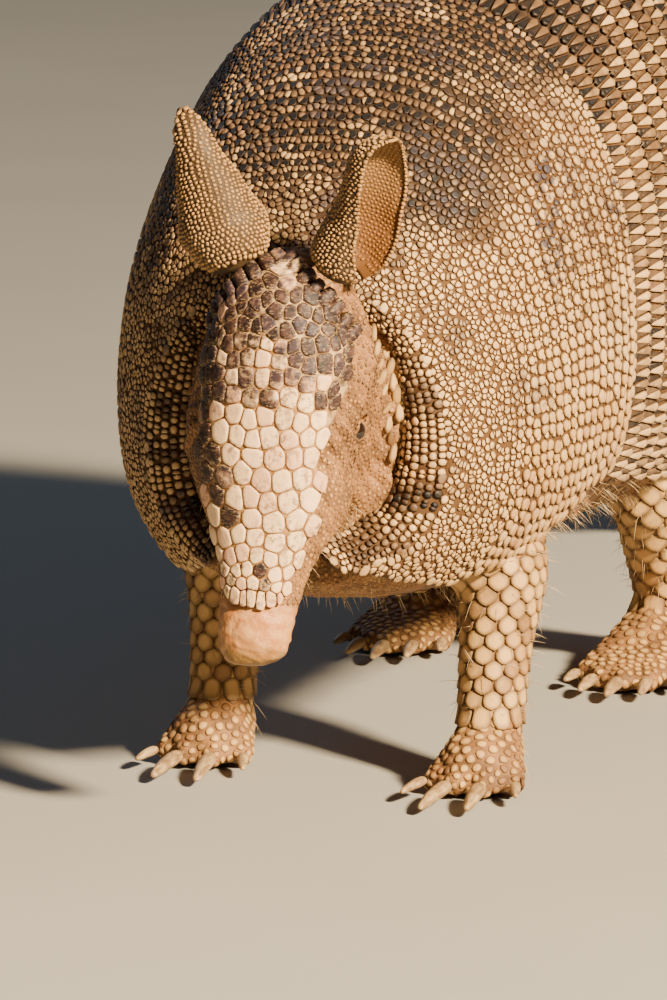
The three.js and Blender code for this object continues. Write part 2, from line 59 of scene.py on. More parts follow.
MM = 0.001  # the geometry below is worked out in millimetres
SIDES = {"left": 1.0, "right": -1.0}
LEGS = [f"{pair}{part}_{side}" for side in SIDES for pair in ("fore", "hind") for part in ("leg", "foot")]
FLESH = ["head", "neck", "trunk", *LEGS]
BANDS = [f"band_{i}" for i in range(1, 10)]
CARAPACE = ["shoulder_shield", *BANDS, "rump_shield"]
TAIL = ["tail_root", "tail_middle", "tail_tip"]

EDGE_BOW = 16.0  # how far the plates' cross edges swing back over the dorsal line
NOSE_TIP = np.array([2.2, -304.6, 45.0])
EYE_SPOT = (25.6, 58.5)  # the left eye from the nose tip, across the camera's view and up it
EYE_RADIUS = 3.4
EYE_OPENING = (2.5, 1.75)  # half the lids' opening, the long way and the short
VIEW_AZIMUTH, VIEW_ELEVATION = math.radians(17), math.radians(10)
VIEW_DISTANCE = 2000.0
VIEW_TARGET = (19.0, 41.0)  # the picture's middle from the nose tip, across the view and up it
HEAD_TILT, HEAD_ROLL = math.radians(12), math.radians(2)
HEAD_FROM, HEAD_TO = 2.0, 104.0  # distances from the nose tip between which the head is measured
EAR_THICKNESS = 1.4
CARAPACE_TURN = math.radians(158)  # the furthest that the carapace reaches round from the back line
FOREFOOT = {"left": (40.0, -226.6), "right": (-38.0, -210.6)}
HINDFOOT = {"left": (42.0, -64.6), "right": (-34.0, -32.6)}
TAIL_LINE = ((24.4, 0, 86), (52.4, 0, 79), (82.4, 3, 61), (114.4, 9, 39), (152.4, 20, 19.5), (200.4, 35, 8),
             (255.4, 53, 4), (311.4, 69, 2.2))  # y, x and z of points on the tail's middle
BACK = np.array([0.0, 1.0, 0.0])


# ---- Sizes and colours a user may change ------------------------------------
def length(label, description, millimetres):
    """A length in the settings."""
    return FloatProperty(name=label, description=description, default=millimetres * MM, unit="LENGTH")


def colour(label, description, *default):
    """A colour in the settings."""
    return FloatVectorProperty(name=label, description=description, default=default, subtype="COLOR")


class ShellSettings(bpy.types.PropertyGroup):
    """Sizes of the scales on the carapace."""

    pitch: length("Scale Pitch", "Spacing of the shields' large scales", 4.4)
    neck_pitch: length("Neck Pitch", "Spacing of the rows nearest the neck", 2.3)
    relief: length("Relief", "Height of a large scale over the grooves", 0.62)
    columns: IntProperty(name="Columns", default=88,
                         description="Large scales from margin to margin on the shoulder shield")
    band_scales: IntProperty(name="Band Scales", default=104,
                             description="Wedges that point backwards across a band")


class HeadSettings(bpy.types.PropertyGroup):
    """Sizes on the head."""

    scale_size: FloatProperty(name="Scale Size", default=1.0,
                              description="Share of the natural size of the face's scales")
    granule_pitch: length("Granule Pitch", "Spacing of the granules on the cheeks", 1.3)
    ear_pitch: length("Ear Granule Pitch", "Spacing of the granules on the ears", 1.15)
    bristle: length("Bristle Length", "Length of the bristles under the cheeks", 6.5)


class ColourSettings(bpy.types.PropertyGroup):
    """Colours of horn and skin."""

    cream: colour("Cream Horn", "Worn tops of the pale scales", 0.52, 0.33, 0.15)
    tan: colour("Tan Horn", "Small scales of the back", 0.115, 0.060, 0.026)
    brown: colour("Brown Horn", "Large scales along the back", 0.005, 0.0035, 0.004)
    groove: colour("Grooves", "Skin between the shell's scales", 0.034, 0.017, 0.008)
    face: colour("Face Horn", "Pale scales of the face", 0.86, 0.56, 0.34)
    stain: colour("Crown Stain", "Dark stain of the crown", 0.008, 0.005, 0.007)
    skin: colour("Skin", "Bare skin of cheeks, neck and legs", 0.27, 0.125, 0.042)
    nose: colour("Nose", "Bare nose", 0.40, 0.155, 0.045)
    ear: colour("Ear", "Granular skin of the ears", 0.30, 0.165, 0.060)


# ---- Small tools ------------------------------------------------------------
def unit(v):
    """Vectors of length one."""
    return v / np.maximum(np.linalg.norm(v, axis=-1, keepdims=True), 1e-12)


def dot(a, b):
    """Dot product over the last axis, kept as an axis."""
    return (a * b).sum(-1, keepdims=True)


def floats(*values):
    """The values as arrays of one shape."""
    return np.broadcast_arrays(*(np.asarray(value, float) for value in values))


def smoothstep(low, high, x):
    """A soft step from 0 at low to 1 at high."""
    k = np.clip((x - low) / (high - low), 0, 1)
    return k * k * (3 - 2 * k)


def through(x, *pairs):
    """A smooth curve through (x, y) pairs that doesn't overshoot between them."""
    px, py = (np.array(column, float) for column in zip(*pairs))
    width = np.diff(px)
    slope = np.diff(py) / width
    before, after = np.r_[slope[0], slope], np.r_[slope, slope[-1]]
    both = np.where(before + after == 0, 1, before + after)
    steep = np.where(before * after > 0, 2 * before * after / both, 0)
    i = np.clip(np.searchsorted(px, x, "right") - 1, 0, len(width) - 1)
    k = np.clip((np.asarray(x, float) - px[i]) / width[i], 0, 1)
    return (py[i] * (1 + 2 * k) * (1 - k) ** 2 + py[i + 1] * k * k * (3 - 2 * k)
            + width[i] * (steep[i] * k * (1 - k) ** 2 - steep[i + 1] * k * k * (1 - k)))


def ripple(p, scale, seed=0):
    """Smooth noise from about -1 to 1 at points p, made of a few waves."""
    rng = np.random.default_rng(seed)
    total = np.zeros(p.shape[:-1])
    for _ in range(7):
        way = rng.normal(size=3)
        total += np.sin(p @ (way / np.linalg.norm(way)) * (2 * math.pi / scale) * rng.uniform(0.6, 1.5)
                        + rng.uniform(0, 6.28))
    return total / 3.2


def travelled(line):
    """How far along a line each of its points lies."""
    return np.r_[0, np.linalg.norm(np.diff(line, axis=0), axis=1).cumsum()]


def at_stops(stops, travel, line):
    """Points of a line at distances along it."""
    return np.stack([np.interp(stops, travel, column) for column in line.T], 1)


def directions(sides):
    """Equal turns round a site."""
    return np.arange(sides) / sides * 2 * math.pi


def rounded_outline(sides, long, wide, power):
    """How far a long scale with rounded corners reaches in each direction."""
    turn = directions(sides)
    return ((np.abs(np.cos(turn)) / long) ** power + (np.abs(np.sin(turn)) / wide) ** power) ** (-1 / power)


def box_mm(node):
    """A CAD node's corners in millimetres."""
    low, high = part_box(node)
    return np.array(low) / MM, np.array(high) / MM


def column(items, name, kind=float, width=3):
    """One property of all of a mesh's vertices, faces or corners, as rows of an array."""
    values = np.empty(len(items) * width, dtype=kind)
    items.foreach_get(name, values)
    return values.reshape(-1, width)


def triangles(mesh):
    """Vertices in millimetres and triangles of a mesh."""
    mesh.calc_loop_triangles()
    return column(mesh.vertices, "co") / MM, column(mesh.loop_triangles, "vertices", np.int32)


class Ground:
    """A surface that scales are set on: finds the nearest point and its normal."""

    def __init__(self, points, faces):
        self.points, self.faces = np.asarray(points), np.asarray(faces)
        self.tree = BVHTree.FromPolygons(self.points.tolist(), self.faces.tolist())

    @classmethod
    def of_nodes(cls, names):
        """The joined surface of CAD nodes."""
        points, faces, start = [], [], 0
        for name in names:
            p, f = triangles(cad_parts[name].data)
            points.append(p)
            faces.append(f + start)
            start += len(p)
        return cls(np.concatenate(points), np.concatenate(faces))

    @classmethod
    def of_grid(cls, points):
        """A surface through a grid of points, its normals facing away from the grid's middle."""
        made = cls(points.reshape(-1, 3), grid_faces(*points.shape[:2], True))
        spots, normals = made.near(points[::7, ::7])
        if dot(normals, spots - points.mean((0, 1))).mean() < 0:
            made = cls(points.reshape(-1, 3), grid_faces(*points.shape[:2]))
        return made

    def near(self, points):
        """Nearest points of the surface and their normals."""
        flat = points.reshape(-1, 3)
        spots, normals = np.empty_like(flat), np.empty_like(flat)
        for i, p in enumerate(flat):
            spot, normal, _, _ = self.tree.find_nearest(p)
            spots[i], normals[i] = spot, normal
        return spots.reshape(points.shape), normals.reshape(points.shape)

    def hit(self, start, way):
        """Distance along a ray to the surface, or nan."""
        distance = self.tree.ray_cast(start, way)[3]
        return math.nan if distance is None else distance

    def scatter(self, inside, pitch, seed):
        """Points spread over the part of the surface that passes a test, about `pitch` apart, with normals.

        `pitch` is a number or a function of points."""
        rng = np.random.default_rng(seed)
        a, b, c = (self.points[self.faces[:, k]] for k in range(3))
        cross = np.cross(b - a, c - a)
        area = np.linalg.norm(cross, axis=1) / 2
        area = area * inside((a + b + c) / 3, unit(cross))
        finest = pitch if np.isscalar(pitch) else pitch(a[area > 0]).min()
        count = int(area.sum() / finest ** 2 * 5)
        pick = rng.choice(len(area), count, p=area / area.sum())
        u, v = rng.random((2, count, 1))
        fold = u + v > 1
        u, v = np.where(fold, 1 - u, u), np.where(fold, 1 - v, v)
        spots = a[pick] + (b - a)[pick] * u + (c - a)[pick] * v
        least = np.full(count, float(pitch)) if np.isscalar(pitch) else pitch(spots)
        least = least * 0.86
        size = least.max()
        keys = np.floor(spots / size).astype(int)
        kept, cells = [], {}
        for i, (key, spot, apart) in enumerate(zip(map(tuple, keys), spots.tolist(), least.tolist())):
            if self._free(cells, key, spot, apart):
                cells.setdefault(key, []).append(spot)
                kept.append(i)
        return spots[kept], unit(cross[pick[kept]])

    @staticmethod
    def _free(cells, key, spot, apart):
        """Whether no kept spot of the cells round a key is nearer than `apart`."""
        x, y, z = spot
        near = itertools.product(*((k - 1, k, k + 1) for k in key))
        return not any((a - x) ** 2 + (b - y) ** 2 + (c - z) ** 2 < apart * apart
                       for cell in near for a, b, c in cells.get(cell, ()))


def blurred(grid, rows, columns, wrap=False):
    """A grid smoothed by a Gaussian of some cells' width; with `wrap` its last column is its first."""
    for axis, width in ((0, rows), (1, columns)):
        if width <= 0:
            continue
        reach = int(width * 3) + 1
        weights = np.exp(-0.5 * (np.arange(-reach, reach + 1) / width) ** 2)
        ring = wrap and axis == 1
        source = grid[:, :-1] if ring else grid
        pad = [(reach, reach) if a == axis else (0, 0) for a in (0, 1)]
        padded = np.pad(source, pad, mode="wrap" if ring else "edge")
        cells = np.arange(source.shape[axis])
        grid = sum(w * np.take(padded, cells + i, axis) for i, w in enumerate(weights / weights.sum()))
        if ring:
            grid = np.concatenate([grid, grid[:, :1]], 1)
    return grid


class Measured:
    """A smooth surface round a spine, measured on CAD nodes by rays and free of their facets.

    A point of it is named by its place along the spine (0 to 1) and its angle round it."""

    def __init__(self, nodes, spine, up, turn, columns, blur, wrap=False, far=160.0):
        cad = Ground.of_nodes(nodes)
        self.spine = np.asarray(spine, float)
        along = unit(np.gradient(self.spine, axis=0))
        up = np.broadcast_to(np.asarray(up, float), along.shape)
        self.up = unit(up - along * dot(along, up))
        self.side = np.cross(along, self.up)
        self.turn, self.wrap = turn, wrap
        self.angles = np.linspace(-turn, turn, columns)
        reach = np.full((len(self.spine), columns), math.nan)
        for i, centre in enumerate(self.spine):
            for j, angle in enumerate(self.angles):
                out = self.side[i] * math.sin(angle) + self.up[i] * math.cos(angle)
                distance = cad.hit(centre + out * far, -out)
                if distance < far:
                    reach[i, j] = far - distance
        self.found = ~np.isnan(reach)
        whole = [i for i in range(len(reach)) if self.found[i].any()]
        for i in whole:
            seen = self.found[i]
            reach[i] = np.interp(self.angles, self.angles[seen], reach[i][seen])
        rows = np.arange(len(reach))
        for j in range(columns):
            reach[:, j] = np.interp(rows, whole, reach[whole, j])
        self.reach = blurred(reach, blur[0], blur[1], wrap)

    def at(self, place, angle):
        """Points of the surface for arrays of places and angles."""
        place, angle = floats(place, angle)
        rows, columns = self.reach.shape
        a = np.clip(place, 0, 1) * (rows - 1)
        b = (angle + self.turn) / (2 * self.turn) * (columns - 1)
        b = b % (columns - 1) if self.wrap else np.clip(b, 0, columns - 1)
        i = np.clip(a.astype(int), 0, rows - 2)
        j = np.clip(b.astype(int), 0, columns - 2)
        s, t = (a - i)[..., None], (b - j)[..., None]

        def between(grid):
            return grid[i] * (1 - s) + grid[i + 1] * s

        near, far = (self.reach[k, j, None] * (1 - t) + self.reach[k, j + 1, None] * t for k in (i, i + 1))
        angle = angle[..., None]
        out = between(self.side) * np.sin(angle) + between(self.up) * np.cos(angle)
        return between(self.spine) + out * (near * (1 - s) + far * s)

    def normal(self, place, angle):
        """Outward normals of the surface."""
        step, swing = 1.5 / len(self.spine), 2.0 * self.turn / self.reach.shape[1]
        along = self.at(place + step, angle) - self.at(place - step, angle)
        around = self.at(place, angle + swing) - self.at(place, angle - swing)
        return unit(np.cross(around, along))

    def raised(self, place, angle, height):
        """Points lifted off the surface."""
        return self.at(place, angle) + self.normal(place, angle) * np.asarray(height, float)[..., None]


# ---- Scales and hairs -------------------------------------------------------
STRIPS = {"scales": (0.30, 0.98), "outer": (0.02, 0.14), "inner": (0.16, 0.28)}  # of the bake map's height


def strip(unwrap, name):
    """Moves places on an unwrap (0 to 1 both ways) into one strip of the bake map."""
    low, high = STRIPS[name]
    return np.stack([0.02 + unwrap[..., 0] * 0.96, low + unwrap[..., 1] * (high - low)], -1).reshape(-1, 2)


class Soup:
    """Mesh arrays that are gathered from many parts and become one object."""

    def __init__(self, *fields):
        self.points, self.faces, self.slots, self.count = [], [], [], 0
        self.fields = {name: [] for name in ("rim", *fields)}
        self.unwrap = []

    def add(self, points, faces, slot=0, unwrap=None, **fields):
        """Adds vertices, faces by index, and one value or array of each field."""
        points = np.asarray(points).reshape(-1, 3)
        self.points.append(points)
        for block in faces:
            self.faces.append(np.asarray(block) + self.count)
            self.slots.append(np.full(len(block), slot))
        for name, store in self.fields.items():
            store.append(np.broadcast_to(np.asarray(fields.get(name, 0.0), float), len(points)))
        self.unwrap.append(
            np.zeros((len(points), 2)) if unwrap is None else np.asarray(unwrap).reshape(-1, 2))
        self.count += len(points)

    def build(self, name, materials, slot_name, replaced=()):
        """Makes the object, with its attributes and its OFBake map, and rides it on the body."""
        mesh = bpy.data.meshes.new(name)
        faces = [face for block in self.faces for face in block.tolist()]
        points = np.concatenate(self.points)
        points[:, 2] = np.maximum(points[:, 2], 0.02)
        mesh.from_pydata((points * MM).tolist(), [], faces)
        for material in materials:
            mesh.materials.append(material)
        mesh.polygons.foreach_set("material_index", np.concatenate(self.slots).astype(np.int32))
        mesh.polygons.foreach_set("use_smooth", np.ones(len(faces), dtype=bool))
        for field, store in self.fields.items():
            mesh.attributes.new(field, "FLOAT", "POINT").data.foreach_set("value", np.concatenate(store))
        corner = column(mesh.loops, "vertex_index", np.int32, 1)[:, 0]
        layer = mesh.uv_layers.new(name="OFBake")
        layer.uv.foreach_set("vector", np.concatenate(self.unwrap)[corner].ravel())
        mesh.update()
        piece = bpy.data.objects.new(name, mesh)
        bpy.context.scene.collection.objects.link(piece)
        return finish_piece(piece, replaced)


def finish_piece(piece, replaced=()):
    """Rides a piece on the body and hides the CAD nodes that it stands for."""
    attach(piece, "root")
    if replaced:
        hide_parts(*replaced)
    return piece


def grid_faces(rows, columns, flip=False):
    """Quads of a grid of rows x columns vertices."""
    i, j = np.meshgrid(np.arange(rows - 1), np.arange(columns - 1), indexing="ij")
    a = (i * columns + j).ravel()
    quads = np.stack([a, a + 1, a + columns + 1, a + columns], 1)
    return quads[:, ::-1] if flip else quads


def closed_sheet(outer, inner):
    """A closed solid between two equal grids of points: its vertices and faces, the outer side first."""
    rows, columns = outer.shape[:2]
    size = rows * columns
    points = np.concatenate([outer.reshape(-1, 3), inner.reshape(-1, 3)])
    index = np.arange(size).reshape(rows, columns)
    rim = np.concatenate([index[0, :-1], index[:-1, -1], index[-1, :0:-1], index[:0:-1, 0]])
    after = np.roll(rim, -1)
    wall = np.stack([rim, rim + size, after + size, after], 1)
    down, along = np.diff(outer, axis=0)[:, :-1], np.diff(outer, axis=1)[:-1]
    faces = [grid_faces(rows, columns, True), grid_faces(rows, columns) + size, wall[:, ::-1]]
    if dot(np.cross(down, along), (outer - inner)[:-1, :-1]).mean() < 0:
        faces = [block[:, ::-1] for block in faces]
    return points, faces


def add_sheet(soup, outer, inner, unwrap, slot=1, **fields):
    """Adds a closed sheet; its two sides have strips of the bake map of their own."""
    points, faces = closed_sheet(outer, inner)
    doubled = {name: np.concatenate([np.ravel(value)] * 2) if np.ndim(value) else value
               for name, value in fields.items()}
    soup.add(points, faces, slot, np.concatenate([strip(unwrap, "outer"), strip(unwrap, "inner")]), rim=1.0,
             **doubled)


def frame_of(normals, forward):
    """Two tangent directions at each site: forward, and to its left."""
    forward = unit(forward - normals * dot(normals, forward))
    return forward, np.cross(normals, forward)


def cell_edges(sites, normals, forward, sides, gap, power, stretch=1.0, cap=0.62, size=None, near=12):
    """How far each site's cell reaches in `sides` directions, with rounded corners and gaps between cells."""
    tree = KDTree(len(sites))
    for i, p in enumerate(sites):
        tree.insert(p, i)
    tree.balance()
    found = [tree.find_n(p, near + 1)[1:] for p in sites]
    spacing = np.array([np.mean([d for _, _, d in f[:4]]) for f in found])
    index = np.array([[j for _, j, _ in f] for f in found])
    forward, left = frame_of(normals, forward)
    away = sites[index] - sites[:, None]
    x = (away * forward[:, None]).sum(-1) / stretch
    y = (away * left[:, None]).sum(-1)
    distance = np.maximum(np.hypot(x, y), 1e-6)
    half = distance / 2 - np.asarray(gap).reshape(-1, 1)
    if size is not None:
        half += (size[:, None] ** 2 - size[index] ** 2) / (2 * distance)
    half = np.maximum(half, 0.12 * distance)
    same = (normals[index] * normals[:, None]).sum(-1) > 0.15
    facing = np.clip(np.cos(directions(sides) - np.arctan2(y, x)[..., None]), 0, None)
    total = (((facing / half[..., None]) ** power) * same[..., None]).sum(1)
    limit = cap * spacing / math.sqrt(stretch) if size is None else cap * spacing * 1.3
    total += (1 / limit)[:, None] ** power
    return total ** (-1 / power)


def settle(ground, sites, forward, steps, stretch=1.0):
    """Moves sites towards the middles of their cells, on the surface."""
    for _ in range(steps):
        sites, normals = ground.near(sites)
        ahead, left = frame_of(normals, forward)
        reach = cell_edges(sites, normals, forward, 16, 0.0, 12.0, stretch, cap=0.8)
        turn = directions(16)
        area = (reach ** 2).sum(1)
        shift_x = (reach ** 3 * np.cos(turn)).sum(1) / area * (2 / 3) * stretch
        shift_y = (reach ** 3 * np.sin(turn)).sum(1) / area * (2 / 3)
        sites = sites + ahead * shift_x[:, None] * 0.8 + left * shift_y[:, None] * 0.8
    return ground.near(sites)


DOME = ((0.0, 1.0), (0.5, 0.97), (0.82, 0.78), (0.95, 0.4), (1.0, -0.5))
BEAD = ((0.0, 1.0), (0.62, 0.78), (1.0, -0.35))
PLATE = ((0.0, 1.0), (0.45, 0.97), (0.74, 0.84), (0.9, 0.58), (0.98, 0.2), (1.0, -0.8))
SLATE = ((0.0, 1.0), (0.6, 1.0), (0.87, 0.98), (0.95, 0.86), (0.99, 0.5), (1.0, -0.8))


def add_scales(
        soup, ground, sites, normals, forward, reach, height, profile=DOME, stretch=1.0, tilt=0.0, slot=0,
        unwrap=None, patch=0.003, keel=0.0, **fields):
    """Adds a solid scale at each site; `profile` pairs a share of the way out with a share of the height."""
    sites = np.asarray(sites)
    ahead, left = frame_of(normals, np.broadcast_to(forward, sites.shape))
    count, sides = reach.shape
    turn = directions(sides)
    height = np.broadcast_to(np.asarray(height, float), count)
    x = reach * np.cos(turn) * stretch
    y = reach * np.sin(turn)
    rim = sites[:, None] + ahead[:, None] * x[..., None] + left[:, None] * y[..., None]
    drop = 0.0
    if ground is not None:
        drop = ((ground.near(rim)[0] - rim) * normals[:, None]).sum(-1)
        drop = np.clip(drop, -reach, reach * 0.5)
    rows = [sites[:, None] + (normals * (height * (profile[0][1] + keel))[:, None])[:, None]]
    for share, level in profile[1:]:
        lift = drop * share ** 2 + height[:, None] * level + tilt * x * share
        ridge = np.clip(1 - np.abs(y * share) / (reach.mean(1)[:, None] * 0.4), 0, 1) * (1 - share)
        lift = lift + keel * height[:, None] * ridge
        rows.append(
            sites[:, None] + ahead[:, None] * (x * share)[..., None]
            + left[:, None] * (y * share)[..., None] + normals[:, None] * lift[..., None])
    points = np.concatenate(rows, 1)
    per = points.shape[1]
    start = (np.arange(count) * per)[:, None]
    k = np.arange(sides)
    after = (k + 1) % sides
    fans = np.stack([np.zeros(sides, int), 1 + k, 1 + after], 1)
    blocks = [(fans[None] + start[..., None]).reshape(-1, 3)]
    for ring in range(len(profile) - 2):
        inner, outer = 1 + ring * sides, 1 + (ring + 1) * sides
        quads = np.stack([inner + k, outer + k, outer + after, inner + after], 1)
        blocks.append((quads[None] + start[..., None]).reshape(-1, 4))
    blocks.append((1 + (len(profile) - 2) * sides + k[::-1])[None] + start)
    spread = {name: np.repeat(np.asarray(value, float), per) if np.ndim(value) else value
              for name, value in fields.items()}
    shares = np.concatenate([[0.0], *(np.full(sides, share) for share, _ in profile[1:])])
    around = np.concatenate([[0.0], *(turn for _ in profile[1:])])
    if unwrap is not None:
        spot = np.stack([np.sin(around), np.cos(around)], -1) * (shares * patch / 2)[:, None]
        unwrap = np.asarray(unwrap).reshape(-1, 1, 2) + spot[None]
    soup.add(points, blocks, slot, unwrap, rim=np.tile(shares, count), **spread)


def add_hairs(soup, roots, ways, lengths, thick, unwrap, bend=(0.0, 0.0, -0.35), seed=1, slot=0):
    """Adds thin tapering hairs that lean a little their own way."""
    rng = np.random.default_rng(seed)
    count = len(roots)
    ways = unit(ways + rng.normal(0, 0.22, (count, 3)))
    across = unit(np.cross(ways, unit(rng.normal(size=(count, 3)))))
    other = np.cross(ways, across)
    bow = np.asarray(bend) + across * rng.normal(0, 0.12, (count, 1))
    rows = []
    for share, width in ((0.0, 1.0), (0.4, 0.8), (0.75, 0.5)):
        centre = roots + (ways * share + bow * share ** 2) * lengths[:, None]
        for angle in (0, 2.094, 4.189):
            rows.append(centre + (across * math.cos(angle) + other * math.sin(angle)) * thick / 2 * width)
    rows.append(roots + (ways + bow) * lengths[:, None])
    points = np.stack(rows, 1)
    k = np.arange(3)
    after = (k + 1) % 3
    sides = np.concatenate([np.stack([a + k, a + after, a + 3 + after, a + 3 + k], 1) for a in (0, 3)])
    start = (np.arange(count) * 10)[:, None, None]
    caps = np.concatenate([np.stack([6 + k, 6 + after, 9 + 0 * k], 1), [[2, 1, 0]]])
    spot = np.array([[0, 0], [1, 0], [0, 1]] * 3 + [[0.5, 0.5]]) * 0.003
    soup.add(points, [(sides[None] + start).reshape(-1, 4), (caps[None] + start).reshape(-1, 3)], slot,
             unwrap[:, None] + spot[None], rim=0.0, tone=np.repeat(rng.random(count), 10))


# ---- Shader maths -----------------------------------------------------------
class Value:
    """A shader socket that takes part in Python sums."""

    def __init__(self, graph, socket):
        self.graph, self.socket = graph, socket

    def _math(self, operation, first, second):
        return self.graph.node("ShaderNodeMath", {"operation": operation}, {0: first, 1: second})

    def __add__(self, other):
        return self._math("ADD", self, other)

    def __radd__(self, other):
        return self._math("ADD", other, self)

    def __sub__(self, other):
        return self._math("SUBTRACT", self, other)

    def __rsub__(self, other):
        return self._math("SUBTRACT", other, self)

    def __mul__(self, other):
        return self._math("MULTIPLY", self, other)

    def __rmul__(self, other):
        return self._math("MULTIPLY", other, self)

    def clamped(self):
        """The value kept between 0 and 1."""
        return self.graph.node("ShaderNodeClamp", {}, {"Value": self})

    def ramp(self, low, high):
        """0 below low, 1 above high, and soft between."""
        return self.graph.node("ShaderNodeMapRange", {"interpolation_type": "SMOOTHSTEP"},
                               {"Value": self, "From Min": low, "From Max": high})


class Graph:
    """A new material's node tree."""

    def __init__(self, name, roughness=0.5, shine=0.5):
        self.material = bpy.data.materials.new(name)
        self.material.use_nodes = True
        self.tree = self.material.node_tree
        self.shader = self.tree.nodes["Principled BSDF"]
        self.set("Roughness", roughness)
        self.set("Specular IOR Level", shine)

    def set(self, socket, value):
        """Sets or links an input of the surface shader."""
        self._feed(self.shader.inputs[socket], value)

    def _feed(self, socket, value):
        if isinstance(value, Value):
            self.tree.links.new(value.socket, socket)
        elif socket.type == "RGBA":
            socket.default_value = (*tuple(value)[:3], 1.0)
        else:
            socket.default_value = value

    def node(self, kind, settings, sockets, output=0):
        """Adds a node: its settings first, then the values or links of its sockets."""
        made = self.tree.nodes.new(kind)
        for key, value in settings.items():
            setattr(made, key, value)
        for key, value in sockets.items():
            self._feed(made.inputs[key], value)
        return Value(self, made.outputs[output])

    def field(self, name):
        """A value stored on the mesh's vertices."""
        return self.node("ShaderNodeAttribute", {"attribute_name": name}, {}, "Fac")

    def place(self, scale=(1, 1, 1)):
        """Object coordinates, stretched."""
        here = self.node("ShaderNodeTexCoord", {}, {}, "Object")
        return self.node("ShaderNodeMapping", {}, {"Vector": here, "Scale": scale})

    def noise(self, size, detail=3.0, rough=0.55, scale=(1, 1, 1)):
        """Noise from 0 to 1 whose features are about `size` millimetres."""
        return self.node("ShaderNodeTexNoise", {}, {"Vector": self.place(scale), "Scale": 1 / (size * MM),
                                                    "Detail": detail, "Roughness": rough}, "Fac")

    def cells(self, size):
        """Distance to the nearest of scattered points about `size` millimetres apart."""
        return self.node(
            "ShaderNodeTexVoronoi", {}, {"Vector": self.place(), "Scale": 1 / (size * MM)}, "Distance")

    def mix(self, share, first, second, blend="MIX"):
        """A blend of two colours."""
        made = self.tree.nodes.new("ShaderNodeMix")
        made.data_type, made.blend_type = "RGBA", blend
        self._feed(made.inputs[0], share)
        self._feed(made.inputs[6], first)
        self._feed(made.inputs[7], second)
        return Value(self, made.outputs[2])

    def over(self, base, *layers):
        """Lays colours over a base, each by its own share."""
        for share, layer in layers:
            base = self.mix(share, base, layer)
        return base

    def finished(self, base, roughness, height, depth, strength=0.8):
        """The material with its colour, its roughness and a height from 0 to 1 worth `depth` millimetres."""
        self.set("Base Color", base)
        self.set("Roughness", roughness)
        self.set("Normal", self.node("ShaderNodeBump", {}, {"Height": height, "Distance": depth * MM,
                                                            "Strength": strength}, "Normal"))
        return self.material


def times(colour, share):
    """A colour times a share."""
    return tuple(min(1.0, c * share) for c in colour)


def horn_material(name, colours, gloss=0.42):
    """Scales from dark brown over tan to cream, by their `age`, with dark rims, growth lines and pits."""
    g = Graph(name, shine=0.45)
    tone, rim, age, stain = g.field("tone"), g.field("rim"), g.field("age"), g.field("stain")
    fine = g.noise(0.7, 4, 0.65)
    paleness = age + (tone - 0.5) * 0.26 + (g.noise(5, 4) - 0.5) * 0.42
    base = g.over(
        colours.brown,
        (paleness.ramp(0.05, 0.42), colours.tan),
        (paleness.ramp(0.40, 0.72), colours.cream),
        (paleness.ramp(0.75, 1.05), (0.42, 0.235, 0.08)),
        (g.noise(15, 3).ramp(0.5, 0.7) * 0.4 * paleness.ramp(0.2, 0.6), (0.22, 0.085, 0.035)),
        (stain * g.noise(3, 3).ramp(0.35, 0.65), (0.045, 0.036, 0.048)),
        (rim.ramp(0.8, 1.0) * 0.6, times(colours.tan, 0.5)),
        (fine.ramp(0.52, 0.74) * 0.3, times(colours.brown, 1.6)),
        ((1 - rim).ramp(0.3, 1.0) * g.noise(1.8, 3).ramp(0.42, 0.7) * paleness.ramp(0.45, 0.8) * 0.6,
         times(colours.cream, 1.5)))
    height = fine * 0.7 + g.cells(0.9) * 0.5 + g.noise(0.28, 2) * 0.35
    return g.finished(base, (gloss + fine * 0.3).clamped(), height, 0.15)


def groove_material(colours):
    """The skin between the shell's scales."""
    g = Graph("shell_grooves", shine=0.3)
    dark = g.mix(g.noise(3, 3).ramp(0.35, 0.7), times(colours.groove, 0.55), colours.groove)
    base = g.mix(g.field("age").ramp(0.2, 0.8), dark, (0.085, 0.038, 0.012))
    return g.finished(base, 0.72 + g.noise(0.6) * 0.2, g.noise(0.5, 3), 0.2)


def skin_material(name, colours):
    """Bare leathery skin with folds and pores, pinker on the nose, with painted shade in the nostrils and a
    painted green reflection on the nose tip.
    """
    g = Graph(name, shine=0.4)
    fine, wet = g.noise(0.8, 4, 0.6), g.field("nose")
    rosy = g.over(
        g.mix(g.noise(4.2, 3).ramp(0.35, 0.68), colours.nose, (0.50, 0.26, 0.105)),
        (g.noise(1.4, 3).ramp(0.55, 0.72) * 0.5, (0.26, 0.065, 0.018)),
        # painted reflection: the green of the ground reflected on the nose tip
        (g.field("under") * 0.85, (0.17, 0.095, 0.018)))
    base = g.over(
        g.mix(g.noise(7, 4).ramp(0.35, 0.65), times(colours.skin, 0.42), colours.skin),
        (g.noise(2.6, 3).ramp(0.52, 0.75) * 0.45, (0.30, 0.15, 0.065)),
        ((1 - g.cells(1.15).ramp(0.05, 0.5)) * 0.35, times(colours.skin, 0.35)),
        (wet, rosy),
        # painted shade: the pressed-in nostrils are coloured near black
        (g.field("dark"), (0.02, 0.01, 0.008)))
    height = fine * 0.6 + g.cells(1.15) * 0.7 + g.noise(0.35, 2) * 0.3
    return g.finished(base, (0.6 + fine * 0.22 - wet * 0.2).clamped(), height, 0.2, 0.75)


